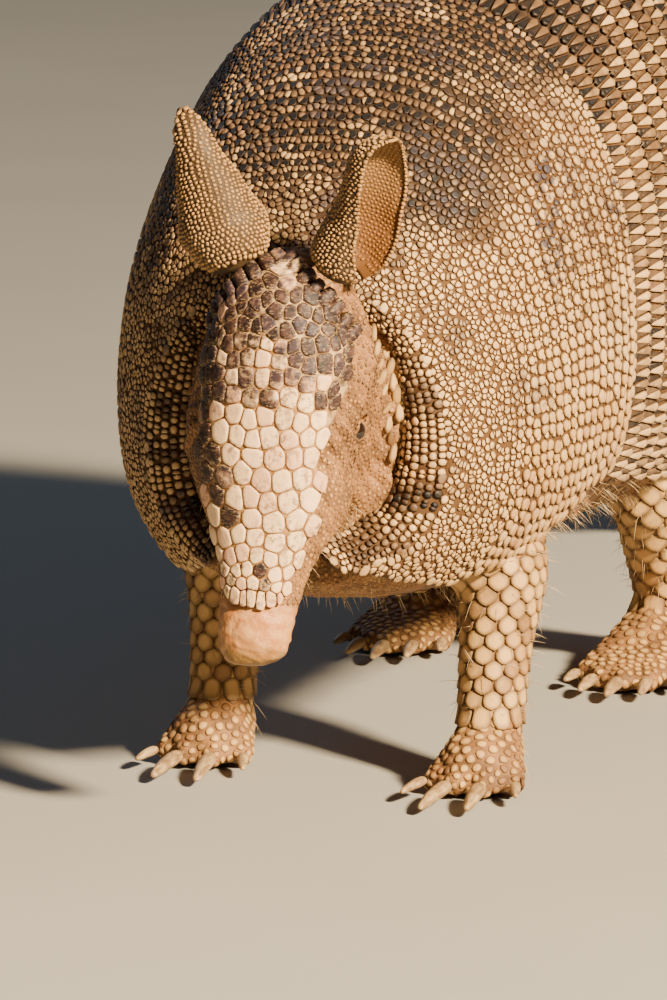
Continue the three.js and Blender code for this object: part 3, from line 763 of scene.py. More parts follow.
def bead_material(name, colours):
    """Granules and small scales of the cheeks, neck, legs and belly: skin-coloured, paler where worn."""
    g = Graph(name, shine=0.4)
    tone, rim, age = g.field("tone"), g.field("rim"), g.field("age")
    tint = ((tone - 0.5) * 0.7 + g.noise(4, 4)).ramp(0.2, 0.85)
    base = g.over(
        g.mix(tint, times(colours.skin, 0.62), times(colours.skin, 1.25)),
        ((age + (tone - 0.5) * 0.4 + (g.noise(3, 3) - 0.5) * 0.5).ramp(0.3, 1.0), (0.52, 0.31, 0.11)),
        (g.field("stain"), (0.035, 0.022, 0.022)),
        (rim.ramp(0.45, 1.0) * 0.75, times(colours.skin, 0.22)))
    return g.finished(base, (0.46 + g.noise(0.8, 3) * 0.3).clamped(), g.noise(0.5, 4, 0.6), 0.12, 0.7)


# ---- Surfaces that the scales are set on ------------------------------------
STORE = {}


def remember(key, make, *settings):
    """Makes a thing once and keeps it for the operators that come later."""
    if key not in STORE:
        STORE[key] = make(*settings)
    return STORE[key]


def camera_axes():
    """The camera's right, its way forward and its up."""
    azimuth, elevation = VIEW_AZIMUTH, VIEW_ELEVATION
    right = np.array([math.cos(azimuth), math.sin(azimuth), 0])
    ahead = np.array([-math.sin(azimuth) * math.cos(elevation), math.cos(azimuth) * math.cos(elevation),
                      -math.sin(elevation)])
    return right, ahead, np.cross(right, ahead)


def head_axes():
    """The head's own directions as columns: to its left, towards its throat, and from nose to crown."""
    return np.array(Matrix.Rotation(HEAD_ROLL, 3, "Y") @ Matrix.Rotation(-HEAD_TILT, 3, "X"))


HEAD_AXES = head_axes()
HEAD_LINE = HEAD_AXES[:, 2]


def to_head(points):
    """Points in the head's own frame: to the left, towards the throat, and distance from the nose tip."""
    return (points - NOSE_TIP) @ HEAD_AXES


class Carapace:
    """The carapace's outer surface, by y in millimetres and share of the way from back line to margin."""

    def __init__(self):
        low, high = box_mm("shoulder_shield")[0], box_mm("rump_shield")[1]
        self.front, self.rear = low[1], high[1]
        self.ys = np.arange(self.front, self.rear + 0.1, 1.5)
        share = (self.ys - self.front) / (self.rear - self.front)
        middle = through(
            share, (0, 84), (0.08, 98), (0.25, 116), (0.5, 124), (0.72, 120), (0.9, 101), (1, 90))
        spine = np.stack([0 * self.ys, self.ys, middle], 1)
        self.surface = Measured(CARAPACE, spine, (0, 0, 1), CARAPACE_TURN, 121, (2.0, 3.0))
        found, angles = self.surface.found, self.surface.angles
        rows = [i for i in range(len(self.ys)) if found[i].any()]
        widest = [np.abs(angles[found[i]]).max() for i in rows]
        self.margin_rows = blurred(np.interp(np.arange(len(self.ys)), rows, widest)[:, None], 2.0, 0)[:, 0]
        self.nape = self.ys[np.argmax(found[:, len(angles) // 2])]
        self.shield_rear = box_mm("shoulder_shield")[1][1] - EDGE_BOW

    def angle(self, y, share):
        """Angle round the spine at a share (-1 to 1) of the way to the margin."""
        return np.interp(y, self.ys, self.margin_rows) * share

    def place(self, y):
        """Place along the spine, 0 to 1."""
        return (np.asarray(y, float) - self.front) / (self.ys[-1] - self.front)

    def at(self, y, share, height=0.0):
        """Points of the outer surface, lifted by a height."""
        y, share = floats(y, share)
        return self.surface.raised(self.place(y), self.angle(y, share), np.broadcast_to(height, y.shape))

    def normal(self, y, share):
        """Outward normals."""
        y, share = floats(y, share)
        return self.surface.normal(self.place(y), self.angle(y, share))

    def front_edge(self, share):
        """Where the shoulder shield begins: further forward at its lower corners."""
        return self.nape - (self.nape - self.front) * np.abs(share) ** 3

    def arc(self, y):
        """Length of the cross-section from margin to margin."""
        return travelled(self.at(y, np.linspace(-1, 1, 80)))[-1]

    def unwrap(self, y, share):
        """The carapace laid flat, 0 to 1 both ways."""
        y, share = floats(y, share)
        return np.stack([0.5 + self.angle(y, share) / CARAPACE_TURN * 0.49, self.place(y)], -1)

    def ground(self):
        """The whole outer surface as a mesh for finding nearest points."""
        y, share = np.meshgrid(self.ys, np.linspace(-1.12, 1.12, 111), indexing="ij")
        angle = np.clip(self.angle(y, share), -self.surface.turn, self.surface.turn)
        return Ground.of_grid(self.surface.at(self.place(y), angle))

    def lowness(self, share, points):
        """0 along the back, 1 on the sides, with a wandering border."""
        return smoothstep(0.20, 0.58, np.abs(share) + ripple(points, 55, 3) * 0.06 + 0.10 * (share > 0))


    def add_plate(self, soup, y, share, depth, inner, paler):
        """Adds the plate under some scales, from one depth to another, with rounded margins."""
        rounded = (1 - smoothstep(1.0, 0.985, np.abs(share))) * 0.8
        outer = self.at(y, share, -depth - rounded)
        add_sheet(soup, outer, self.at(y, share, -inner), self.unwrap(y, share),
                  age=self.lowness(share + 0 * y, outer) * 0.8 + paler)


def bowed(y):
    """A cross edge that is straight at its margins and swung back over the dorsal line."""
    return lambda share: y + EDGE_BOW * (1 - share ** 2)


def carapace():
    """The carapace's measured surface."""
    return remember("carapace", Carapace)


def carapace_ground():
    """The carapace's surface as a mesh."""
    return remember("carapace ground", carapace().ground)


def shell_materials():
    """Horn and grooves of the carapace."""
    colours = bpy.context.scene.armadillo_colours
    return remember(
        "shell materials", lambda: [horn_material("shell_horn", colours), groove_material(colours)])


def fuller(points):
    """Head points moved to the animal's own face: a flatter left cheek, wider jowls and a lower nose."""
    x, v, s = np.moveaxis(to_head(points), -1, 0)
    y, z = points[..., 1], points[..., 2]
    beyond = 2.0 * np.log1p(np.exp(np.clip((x - 12) / 2.0, -20, 20)))
    flat = 1 - through(s, (36, 1.0), (44, 0.74), (51, 0.45), (60, 0.55), (73, 0.78), (80, 0.95), (86, 1.0))
    x = x - beyond * flat * smoothstep(-236, -250, y) * smoothstep(60, 72, z + 12 * (y < -262))
    fade = smoothstep(106, 96, s) * smoothstep(-258, -268, y)
    wide = through(
        s, (0, 1.05), (17, 1.06), (24, 1.08), (39, 1.12), (47, 1.10), (55, 1.05), (63, 1.0), (78, 1.0),
        (88, 0.96), (104, 0.94))
    shift = through(
        s, (0, -1.7), (14, -1.3), (26, -0.8), (42, 0.0), (52, 0.0), (64, 1.1), (76, 1.0), (88, 0.0))
    drop = 2.0 * (1 - smoothstep(0, 12, s)) * np.exp(-((x + 2) / 7) ** 2)
    moved = np.stack([x * (1 + (wide - 1) * fade) + shift * fade, v, s - drop * fade], -1)
    here = ((s < 106) & (s > -8) & (y < -236))[..., None]
    return np.where(here, moved @ HEAD_AXES.T + NOSE_TIP, points)


def head_surface():
    """The head's outer surface, measured over flesh and shield."""
    spine = NOSE_TIP + np.linspace(HEAD_FROM, HEAD_TO, 80)[:, None] * HEAD_LINE
    nodes = ["head", "head_shield", "eye_left", "eye_right"]
    return remember("head", Measured, nodes, spine, -HEAD_AXES[:, 1], math.pi, 73, (2.0, 2.5), True, 90.0)


def head_at(station, angle, height=0.0):
    """Points of the head by distance from the nose tip and angle from the dorsal line."""
    station, angle = floats(station, angle)
    place = (station - HEAD_FROM) / (HEAD_TO - HEAD_FROM)
    return fuller(head_surface().raised(place, angle, np.broadcast_to(height, station.shape)))


def head_unwrap(points):
    """The head laid flat, 0 to 1 both ways."""
    x, v, s = np.moveaxis(to_head(points), -1, 0)
    return np.stack([0.5 + np.arctan2(x, -v) / math.pi * 0.49, np.clip(s / 110, 0, 1)], -1)


def head_ground():
    """The head's surface as a mesh."""
    def make():
        station, angle = np.meshgrid(
            np.linspace(HEAD_FROM, HEAD_TO, 90), np.linspace(-math.pi, math.pi, 97), indexing="ij")
        return Ground.of_grid(head_at(station, angle))

    return remember("head ground", make)


def shield_reach(station):
    """Half-angle that the head shield covers."""
    return through(
        station, (14, 0.95), (30, 1.04), (44, 1.0), (58, 0.95), (70, 1.06), (84, 1.22), (98, 1.15),
        (104, 1))


def skin_unwrap(points):
    """Places on the bake map for things that grow on the skin: body, head and legs each have a part of it."""
    x, y, z = np.moveaxis(points, -1, 0)
    u = 0.5 + np.arctan2(x, z - 100) / math.pi * 0.47
    v = 0.03 + np.clip((y + 290) / 360, 0, 1) * 0.35
    on_head = (to_head(points)[..., 2] < 112) & (y < -255)
    face = head_unwrap(points)
    u = np.where(on_head, 0.03 + face[..., 0] * 0.94, u)
    v = np.where(on_head, 0.42 + face[..., 1] * 0.28, v)
    for k, (foot, side) in enumerate((f, s) for f in (FOREFOOT, HINDFOOT) for s in SIDES):
        fx, fy = foot[side]
        leg = (np.hypot(x - fx, y - fy) < 44) & (z < 62) & ~on_head
        u = np.where(leg, 0.03 + 0.24 * k + (np.arctan2(x - fx, y - fy) / math.pi + 1) * 0.11, u)
        v = np.where(leg, 0.74 + np.clip(z / 62, 0, 1) * 0.23, v)
    return np.stack([u, v], -1)


# ---- Carapace ---------------------------------------------------------------
def build_shield(node, plate, big, rng, y, share, sites, normals, reach, height, tilt=0.0, **fields):
    """Makes a shield's two objects: its plate with the large scales, and the small scales between them."""
    for kind, chosen, profile, patch in (("scales", big, DOME, 0.007), ("granules", ~big, BEAD, 0.003)):
        soup = plate if chosen is big else Soup("tone", "age", "stain")
        add_scales(
            soup, carapace_ground(), sites[chosen], normals[chosen], BACK, reach[chosen], height[chosen],
            profile=profile, tilt=tilt, patch=patch, tone=rng.uniform(0, 1, chosen.sum()),
            unwrap=strip(carapace().unwrap(y[chosen], share[chosen]), "scales"),
            **{name: value[chosen] for name, value in fields.items()})
        soup.build(f"{node}_{kind}", shell_materials(), "shell", [node] if chosen is big else ())


class ARMADILLO_OT_shoulder_shield(bpy.types.Operator):
    """Builds the shoulder shield: large scales in rows, each in a ring of small ones, and a neck lip"""

    bl_idname = "armadillo.shoulder_shield"
    bl_label = "Shoulder Shield"

    def execute(self, context):
        shell, settings = carapace(), context.scene.armadillo_shell
        rear = bowed(shell.shield_rear - 0.3)
        rows = self.row_shares(shell, settings)
        columns = settings.columns
        grid_share = (np.arange(2 * columns) + 1) / (2 * columns) * 2 - 1
        index = np.flatnonzero(np.abs(grid_share) < 0.992)
        share_of, y_of, big = [], [], []
        rng = np.random.default_rng(11)
        for k, back in enumerate(rows):
            loose = 1 - smoothstep(0.12, 0.36, back)
            share = grid_share[index] * 0.99 + rng.normal(0, (0.22 + 0.2 * loose) / columns, len(index))
            y = shell.front_edge(share) * (1 - back) + rear(share) * back
            y += rng.normal(0, 0.3 + 0.2 * loose, len(share))
            large = (k % 2 == 0) & ((index + k // 2) % 2 == 0)
            small = (k % 2 == 1) & ((index + (k + 1) // 2) % 2 == 0)
            keep = large | small | (np.abs(share) < 0.62) | (back < 0.25)
            share_of.append(share[keep])
            y_of.append(y[keep])
            big.append(large[keep])
        share, y, big = map(np.concatenate, (share_of, y_of, big))
        y = np.minimum(y, rear(share) - 0.7)
        sites, normals = shell.at(y, share, -0.15), shell.normal(y, share)
        low = shell.lowness(share, sites)
        near_neck = 1 - smoothstep(8, 30, y - shell.front_edge(share))
        arc = shell.arc(shell.shield_rear) / columns
        size = np.where(big, 0.26 + 0.16 * low, 0.22 - 0.10 * low) * arc
        size = size * (1 - near_neck) + 0.2 * arc * near_neck
        reach = cell_edges(sites, normals, BACK, 10, 0.055 + 0.05 * low, 6.0, cap=0.66,
                           size=size * rng.uniform(0.78, 1.22, len(size)))
        reach = np.minimum(reach, 2.6 - 0.6 * near_neck[:, None])
        relief = settings.relief / MM
        height = np.where(big, 0.22 + 0.78 * low, 0.62 - 0.32 * low) * relief
        height = height * (1 - near_neck) + 0.42 * relief * near_neck
        height *= np.clip(reach.mean(1) / 0.9, 0.4, 1.15)
        bottom = smoothstep(0.62, 0.85, np.abs(share))
        age = np.where(big, -0.1 + 0.85 * low, 0.40 + 0.22 * low) + 0.22 * bottom
        age = age * (1 - near_neck) + (0.55 + 0.15 * low) * near_neck + ripple(sites, 20, 5) * 0.12
        stain = 0.75 * np.exp(-(((share - 0.42) / 0.16) ** 2 + ((y - shell.nape - 58) / 24) ** 2))
        stain += 0.7 * smoothstep(0.25, 0.8, ripple(sites, 22, 15)) * (1 - bottom)
        back = np.linspace(0, 1, 40)[:, None]
        edge = np.linspace(-1, 1, 121)
        soup = Soup("tone", "age", "stain")
        shell.add_plate(soup, shell.front_edge(edge) * (1 - back) + rear(edge) * back, edge, 0.34, 3.0,
                        0.5 * (1 - smoothstep(0.1, 0.3, back)))
        self.add_lip(soup, self.lip_grid(shell), rng)
        build_shield("shoulder_shield", soup, big, rng, y, share, sites, normals, reach, height,
                     age=age, stain=stain)
        return {"FINISHED"}

    def row_shares(self, shell, settings):
        """Shares of the way back at which the rows lie: close at the neck, and two for each large row."""
        length = shell.shield_rear - shell.nape + EDGE_BOW * 0.6
        steps = [1.0]
        while steps[-1] < length - 1.2:
            steps.append(steps[-1] + 0.5 * through(steps[-1], (0, settings.neck_pitch / MM), (18, 3.1),
                                                   (45, settings.pitch / MM)))
        return np.array(steps) / length

    def lip_grid(self, shell):
        """The shield's front edge rolled inwards, as a grid of points from the edge to the neck."""
        share = np.linspace(-1, 1, 141)
        edge_y = shell.front_edge(share)
        edge, behind = shell.at(edge_y, share, -0.15), shell.at(edge_y + 4, share, -0.15)
        ahead = unit(edge - behind)
        normal = shell.normal(edge_y + 2, share)
        radius = through(np.abs(share), (0, 2.5), (0.3, 3.5), (0.5, 7.5), (0.85, 9.0), (1, 6.0))[:, None]
        return np.stack([edge + (ahead * math.sin(t) - normal * (1 - math.cos(t))) * radius
                         for t in np.linspace(0, math.radians(120), 12)])

    def add_lip(self, soup, lip, rng):
        """Adds the rolled lip and its small pale scales."""
        ground = Ground.of_grid(lip)
        facing = unit(np.cross(np.gradient(lip, axis=1), np.gradient(lip, axis=0)))
        if facing[0, 70, 2] < 0:
            facing = -facing
        outer, inner = lip - facing * 0.5, lip - facing * 2.2
        share = np.linspace(0, 1, lip.shape[1])[None] + np.zeros((len(lip), 1))
        unwrap = np.stack([share, np.linspace(0, 0.06, len(lip))[:, None] + 0 * share], -1)
        add_sheet(soup, outer, inner, unwrap, age=0.6)
        length = np.linalg.norm(np.diff(lip[:, ::7], axis=0), axis=-1).sum(0).mean()
        sites, faced, unwrapped = [], [], []
        rows = int(length / 1.75)
        for r in range(rows):
            a = (r + 0.5) / rows * (len(lip) - 1)
            line = lip[int(a)] * (1 - a % 1) + lip[min(int(a) + 1, len(lip) - 1)] * (a % 1)
            travel = travelled(line)
            count = int(travel[-1] / 1.95)
            stops = (np.arange(count) + 0.5 * (r % 2) + rng.normal(0, 0.3, count)) / count * travel[-1]
            sites.append(at_stops(stops, travel, line))
            faced.append(at_stops(stops, travel, facing[int(a)]))
            unwrapped.append(np.stack([stops / travel[-1], np.full(count, 0.06 * r / rows)], 1))
        sites, unwrapped = np.concatenate(sites), np.concatenate(unwrapped)
        sites = ground.near(sites)[0]
        normals = unit(np.concatenate(faced))
        reach = cell_edges(sites, normals, BACK, 8, 0.05, 6.0, cap=0.66)
        add_scales(
            soup, ground, sites, normals, BACK, reach, 0.3, profile=BEAD, unwrap=strip(unwrapped, "scales"),
            tone=rng.uniform(0, 1, len(sites)), age=0.6 + ripple(sites, 14, 6) * 0.3,
            stain=0.4 * smoothstep(0, 0.8, ripple(sites, 18, 9)))


class ARMADILLO_OT_bands(bpy.types.Operator):
    """Builds the nine bands, each a plate with a raised rear edge and a zigzag of wedge-shaped scales"""

    bl_idname = "armadillo.bands"
    bl_label = "Bands"

    def execute(self, context):
        shell, settings = carapace(), context.scene.armadillo_shell
        rng = np.random.default_rng(12)
        share = np.linspace(-1, 1, 97)
        back = np.linspace(0, 1, 10)
        level = self.level(back)[:, None]
        count = settings.band_scales
        for node in BANDS:
            low, high = box_mm(node)
            front, rear = low[1] - 1.6, high[1] - EDGE_BOW + 0.1
            soup = Soup("tone", "age", "stain")
            y = bowed(front)(share) + (rear - front) * back[:, None]
            shell.add_plate(soup, y, share, 0.5 + level, 2.9 + level * 0.3, 0.1)
            deep = rear - low[1] - 0.3
            for point_back, offset in ((True, 0.0), (False, 0.5)):
                at = (np.arange(count) + 0.5 + offset) / count * 2 - 1
                at = at[np.abs(at) < 0.993]
                at = at + rng.normal(0, 0.03 / count, len(at))
                place = low[1] + 0.5 + deep * (0.60 if point_back else 0.36) + rng.normal(0, 0.1, len(at))
                ys = bowed(0)(at) + place
                sites, normals = shell.at(ys, at), shell.normal(ys, at)
                sites = sites - normals * (self.level((place - front) / (rear - front)) + 0.35)[:, None]
                arc = shell.arc(low[1] + 8) / count
                reach = wedge_edges(len(at), 12, arc, deep, point_back, 0.05) * (1.0 if point_back else 0.9)
                lowness = shell.lowness(at, sites)
                age = 0.36 + 0.26 * lowness if point_back else 0.05 + 0.2 * lowness
                age = age + ripple(sites, 18, 7) * 0.1
                sites = sites - normals * (0.0 if point_back else 0.25)
                add_scales(soup, carapace_ground(), sites, normals, BACK, reach, 0.7, tilt=0.16,
                           unwrap=strip(shell.unwrap(ys, at), "scales"), patch=0.007,
                           profile=((0, 1), (0.5, 0.93), (0.82, 0.62), (1.0, -0.7)), age=age,
                           tone=rng.uniform(0, 1, len(at)), keel=0.35 if point_back else 0.0)
            soup.build(node + "_scales", shell_materials(), "shell", [node])
        return {"FINISHED"}

    def level(self, back):
        """How deep a band lies at a share of the way back: its rear edge stands over the next band."""
        return 1.6 - 1.85 * smoothstep(0.0, 1.0, back) + 1.0 * smoothstep(0.97, 1.0, back)


def wedge_edges(count, sides, width, deep, point_back, gap):
    """Outlines of rounded triangles, with their flat side to the rear where `point_back`, else in front."""
    turn = directions(sides)
    way = 1.0 if point_back else -1.0
    slope = math.atan2(deep, width / 2)
    flats = [(0.0 if point_back else math.pi, deep * 0.36)]
    for side in (1, -1):
        flats.append((math.pi / 2 * side + way * side * (math.pi / 2 - slope), deep * 0.66 * math.cos(slope)))
    total = np.zeros(sides)
    for angle, distance in flats:
        total += (np.clip(np.cos(turn - angle), 0, None) / (distance - gap)) ** 3.6
    total += (1 / (deep * 0.62)) ** 3.6
    return np.broadcast_to(total ** (-1 / 3.6), (count, sides)).copy()


class ARMADILLO_OT_rump_shield(bpy.types.Operator):
    """Builds the rump shield with its rows of large scales and the small ones between them"""

    bl_idname = "armadillo.rump_shield"
    bl_label = "Rump Shield"

    def execute(self, context):
        shell, settings = carapace(), context.scene.armadillo_shell
        rng = np.random.default_rng(13)
        front, rear = box_mm("rump_shield")[0][1] + 0.2, box_mm("rump_shield")[1][1] - 0.4
        line = np.linspace(0, 1, 80)
        travel = travelled(shell.at(front + 8 + line * (rear - front - 8), 0.0))
        share_of, y_of, big = [], [], []
        rows = int(travel[-1] / (settings.pitch / MM * 1.02)) * 2
        for k in range(rows):
            back = np.interp((k + 0.7) / rows * travel[-1], travel, line)
            across = max(10, round(shell.arc(front + back * (rear - front)) / (settings.pitch / MM * 1.05)))
            share = (np.arange(across) + 0.5 + 0.5 * (k // 2 % 2) * (k % 2 == 0)
                     + (0.5 - 0.5 * (k // 2 % 2)) * (k % 2)) / across * 2 - 1
            share = share[np.abs(share) < 0.99] * 0.985
            share_of.append(share + rng.normal(0, 0.1 / across, len(share)))
            y = bowed(front)(share_of[-1]) * (1 - back) + rear * back + rng.normal(0, 0.15, len(share))
            y_of.append(np.clip(y, bowed(front + 0.8)(share_of[-1]), rear - 0.8))
            big.append(np.full(len(share), k % 2 == 0))
        share, y, big = map(np.concatenate, (share_of, y_of, big))
        sites, normals = shell.at(y, share, -0.15), shell.normal(y, share)
        low = shell.lowness(share, sites)
        size = np.where(big, 1.75, 0.75) * rng.uniform(0.93, 1.07, len(big))
        reach = cell_edges(sites, normals, BACK, 8, 0.12, 6.0, cap=0.64, size=size)
        age = np.where(big, 0.22 + 0.6 * low, 0.34) + ripple(sites, 20, 5) * 0.1
        soup = Soup("tone", "age", "stain")
        edge = np.linspace(-1, 1, 121)
        back = np.linspace(0, 1, 50)[:, None]
        shell.add_plate(soup, bowed(front)(edge) * (1 - back) + rear * back, edge, 0.5, 3.0, 0.1)
        height = np.where(big, 1.0, 0.5) * settings.relief / MM
        build_shield("rump_shield", soup, big, rng, y, share, sites, normals, reach, height, 0.04, age=age)
        return {"FINISHED"}


# ---- Head -------------------------------------------------------------------
class ARMADILLO_OT_head_shield(bpy.types.Operator):
    """Builds the head shield: long scales on the snout, round ones on the crown and a row of wedges behind"""

    bl_idname = "armadillo.head_shield"
    bl_label = "Head Shield"

    def execute(self, context):
        colours = context.scene.armadillo_colours
        natural = context.scene.armadillo_head.scale_size
        ground = head_ground()
        rng = np.random.default_rng(21)
        stations, angles = [], []
        station, row = 17.0, 0
        while station < 101:
            pitch = natural * through(
                station, (17, 2.5), (22, 3.6), (32, 5.2), (52, 5.2), (66, 4.5), (78, 3.9), (99, 3.5))
            wide = natural * through(
                station, (17, 2.4), (24, 3.5), (38, 4.9), (52, 4.8), (66, 4.3), (80, 3.7), (99, 3.5))
            half = shield_reach(station)
            line = head_at(station, np.linspace(-half, half, 30))
            count = max(3, round(travelled(line)[-1] / wide))
            angle = (np.arange(-2, count + 2) + 0.5 * (row % 2)) / (count - 0.5) * 2 - 1
            loose = 1 + 0.9 * smoothstep(56, 76, station)
            stations.append(station + rng.normal(0, 0.18 * loose * pitch, count + 4))
            angles.append(angle * half * 0.97 + rng.normal(0, 0.2 * loose / count, count + 4))
            station += pitch
            row += 1
        stretch = 1.15
        sites = head_at(np.concatenate(stations), np.concatenate(angles))
        sites, normals = settle(ground, sites, HEAD_LINE, 1, stretch)
        crest = self.crest_line()
        clear = np.array([np.linalg.norm(crest - p, axis=1).min() for p in sites])
        x, v, s = to_head(sites).T
        around = np.abs(np.arctan2(x, -v))
        keep = (clear > 3.0) & (s <= self.crest_station(around))
        sites, normals, around = sites[keep], normals[keep], around[keep]
        reach = cell_edges(sites, normals, HEAD_LINE, 16, 0.10, 14.0, stretch, cap=0.56,
                           size=rng.uniform(0.3, 1.5, len(sites)))
        keep = around < shield_reach(to_head(sites)[:, 2]) * 1.03
        sites, normals, reach = sites[keep], normals[keep], reach[keep]
        soup = Soup("tone", "age")
        back = np.linspace(0, 1, 70)[:, None]
        share = np.linspace(-1, 1, 45)[None]
        angle = share * shield_reach(16 + 86 * back)
        station = 16 + (self.crest_station(angle) - 15.2) * back
        edge = smoothstep(1.0, 0.93, np.abs(share)) * smoothstep(0.0, 0.045, back)
        edge = edge * smoothstep(1.0, 0.96, back)
        outer = head_at(station, angle, -0.12 - 0.9 * (1 - edge))
        add_sheet(soup, outer, head_at(station, angle, -2.0), head_unwrap(outer), age=self.paleness(outer))
        crown = smoothstep(55, 78, to_head(sites)[:, 2])
        height = 0.30 * np.clip(reach.mean(1) / 1.9, 0.4, 1.0) + rng.uniform(0, 0.08 + 0.2 * crown)
        normals = unit(normals + rng.normal(0, 0.03, normals.shape) * (1 + 1.6 * crown[:, None]))
        add_scales(
            soup, ground, sites - normals * 0.25, normals, HEAD_LINE, reach, height + 0.17, stretch=stretch,
            profile=PLATE, unwrap=strip(head_unwrap(sites), "scales"), patch=0.02,
            tone=rng.uniform(0, 1, len(sites)), age=self.paleness(sites) + rng.normal(0, 0.2, len(sites)))
        self.add_crest(soup, ground, rng)
        soup.build("head_shield_scales", [self.horn(colours), self.seams()], "face_plates", ["head_shield"])
        return {"FINISHED"}

    def paleness(self, points):
        """Cream on the snout and forehead, stained over the crown, and darker down the right side, where
        stained scales have painted shade laid over them.
        """
        x, _, s = np.moveaxis(to_head(points), -1, 0)
        crown = smoothstep(
            54, 94, s + ripple(points, 20, 8) * 8 + ripple(points, 8, 14) * 6 + np.abs(x) * 0.6)
        # partly painted shade: the right side, turned from the key light, darkens from near the middle line
        # over its stained scales
        side = smoothstep(5, 16, -x - 1 + ripple(points, 15, 5) * 3) * smoothstep(24, 50, s) * 0.8
        left = smoothstep(13, 20, x) * smoothstep(40, 60, s) * 0.45
        return np.clip(1 - np.maximum(np.maximum(crown, side), left) + ripple(points, 9, 4) * 0.18, 0, 1)

    def crest_line(self):
        """Points along the shield's rear edge, from the right over the crown to the left."""
        angle = np.linspace(-1.3, 1.3, 200)
        return head_at(self.crest_station(angle), angle)

    def crest_station(self, angle):
        """How far back the shield's rear edge lies: a roof with its ridge over the dorsal line."""
        return through(np.abs(angle), (0, 102), (0.3, 99.5), (0.8, 92.5), (1.3, 83))

    def add_crest(self, soup, ground, rng):
        """The row of wedge-shaped scales that stands up along the shield's rear edge."""
        line = self.crest_line()
        travel = travelled(line)
        count = int(travel[-1] / 3.7)
        stops = (np.arange(count) + 0.5) / count * travel[-1] + rng.normal(0, 0.15, count)
        ahead = at_stops(stops + 1, travel, line) - at_stops(stops - 1, travel, line)
        sites, normals = ground.near(at_stops(stops, travel, line))
        out = unit(np.cross(unit(ahead), normals))
        out = np.where(dot(out, HEAD_LINE) < 0, -out, out)
        normals = unit(normals - out * 0.25)
        reach = rounded_outline(12, 3.1, 1.72, 5) * rng.uniform(0.88, 1.08, (count, 1))
        add_scales(soup, None, sites - normals * 0.1, normals, out, reach, 1.7, tilt=0.16, patch=0.02,
                   unwrap=strip(head_unwrap(sites + out * 6), "scales"), tone=rng.uniform(0, 1, count),
                   age=rng.uniform(-0.1, 0.5, count),
                   profile=((0, 1.0), (0.5, 0.95), (0.8, 0.74), (0.94, 0.35), (1.0, -1.3)))

    def horn(self, colours):
        """Face scales: cream to pink, stained dark on the crown."""
        g = Graph("face_horn", shine=0.3)
        tone, rim, age = g.field("tone"), g.field("rim"), g.field("age")
        fine = g.noise(0.8, 4, 0.65)
        pale = (age + (g.noise(4.5, 5, 0.65) - 0.5) * 1.5 + (tone - 0.5) * 0.45).ramp(0.36, 0.72)
        crust = g.noise(1.1, 5, 0.75, (1, 1, 2.2)).ramp(0.53, 0.6) * (0.12 + rim * rim * 0.88)
        face = g.over(
            colours.face,
            (g.noise(3.4, 3).ramp(0.35, 0.7), (0.78, 0.55, 0.29)),
            (tone.ramp(0.4, 1.0) * 0.7, (0.56, 0.27, 0.17)))
        stain = g.over(
            colours.stain,
            (g.noise(2.2, 3).ramp(0.35, 0.7), (0.050, 0.022, 0.018)),
            (tone.ramp(0.5, 0.95) * 0.6, (0.045, 0.030, 0.045)),
            (crust, (0.42, 0.28, 0.15)))
        base = g.over(
            stain,
            (pale, face),
            (g.noise(9, 3).ramp(0.42, 0.62) * g.noise(1.5, 5, 0.7).ramp(0.46, 0.6) * 0.75,
             (0.13, 0.065, 0.046)),
            (rim.ramp(0.93, 1.0) * 0.7, (0.22, 0.11, 0.036)),
            (fine.ramp(0.54, 0.74) * 0.25, (0.05, 0.026, 0.015)))
        height = fine * 0.5 + g.noise(0.5, 3, 0.6, (1, 1, 0.25)) * 0.5 + g.cells(1.3) * 0.35
        return g.finished(base, (0.42 + fine * 0.3).clamped(), height, 0.15)

    def seams(self):
        """Seams of the face: orange-brown between pale scales, cream between stained ones."""
        g = Graph("face_seams", shine=0.3)
        warm = g.mix(g.noise(2, 3).ramp(0.35, 0.7), (0.20, 0.085, 0.022), (0.42, 0.23, 0.085))
        light = g.mix(g.noise(2, 3).ramp(0.3, 0.7), (0.10, 0.055, 0.024), (0.50, 0.34, 0.18))
        base = g.mix(g.field("age").ramp(0.2, 0.6), light, warm)
        return g.finished(base, 0.75 + g.noise(0.5) * 0.15, g.noise(0.5, 3), 0.15)


# ---- Skin -------------------------------------------------------------------
def deselect():
    """Leaves nothing selected."""
    bpy.ops.object.select_all(action="DESELECT")


def pick(piece):
    """Makes one object the selected and active one."""
    deselect()
    piece.select_set(True)
    bpy.context.view_layer.objects.active = piece


def joined_copy(names, name):
    """One new object made of copies of CAD nodes, with doubles merged."""
    deselect()
    for node in names:
        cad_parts[node].select_set(True)
    bpy.context.view_layer.objects.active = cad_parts[names[0]]
    bpy.ops.object.duplicate()
    copies = list(bpy.context.selected_objects)
    for copy in copies:
        for key in list(copy.keys()):
            del copy[key]
        copy.parent = None
    bpy.context.view_layer.objects.active = copies[0]
    bpy.ops.object.join()
    piece = bpy.context.view_layer.objects.active
    piece.name = piece.data.name = name
    piece.data.materials.clear()
    bpy.ops.object.mode_set(mode="EDIT")
    bpy.ops.mesh.select_all(action="SELECT")
    bpy.ops.mesh.remove_doubles(threshold=0.00001)
    bpy.ops.object.mode_set(mode="OBJECT")
    return piece


def apply_modifier(piece, kind, **settings):
    """Adds a modifier and applies it."""
    modifier = piece.modifiers.new(kind.title(), kind)
    for key, value in settings.items():
        setattr(modifier, key, value)
    pick(piece)
    bpy.ops.object.modifier_apply(modifier=modifier.name)


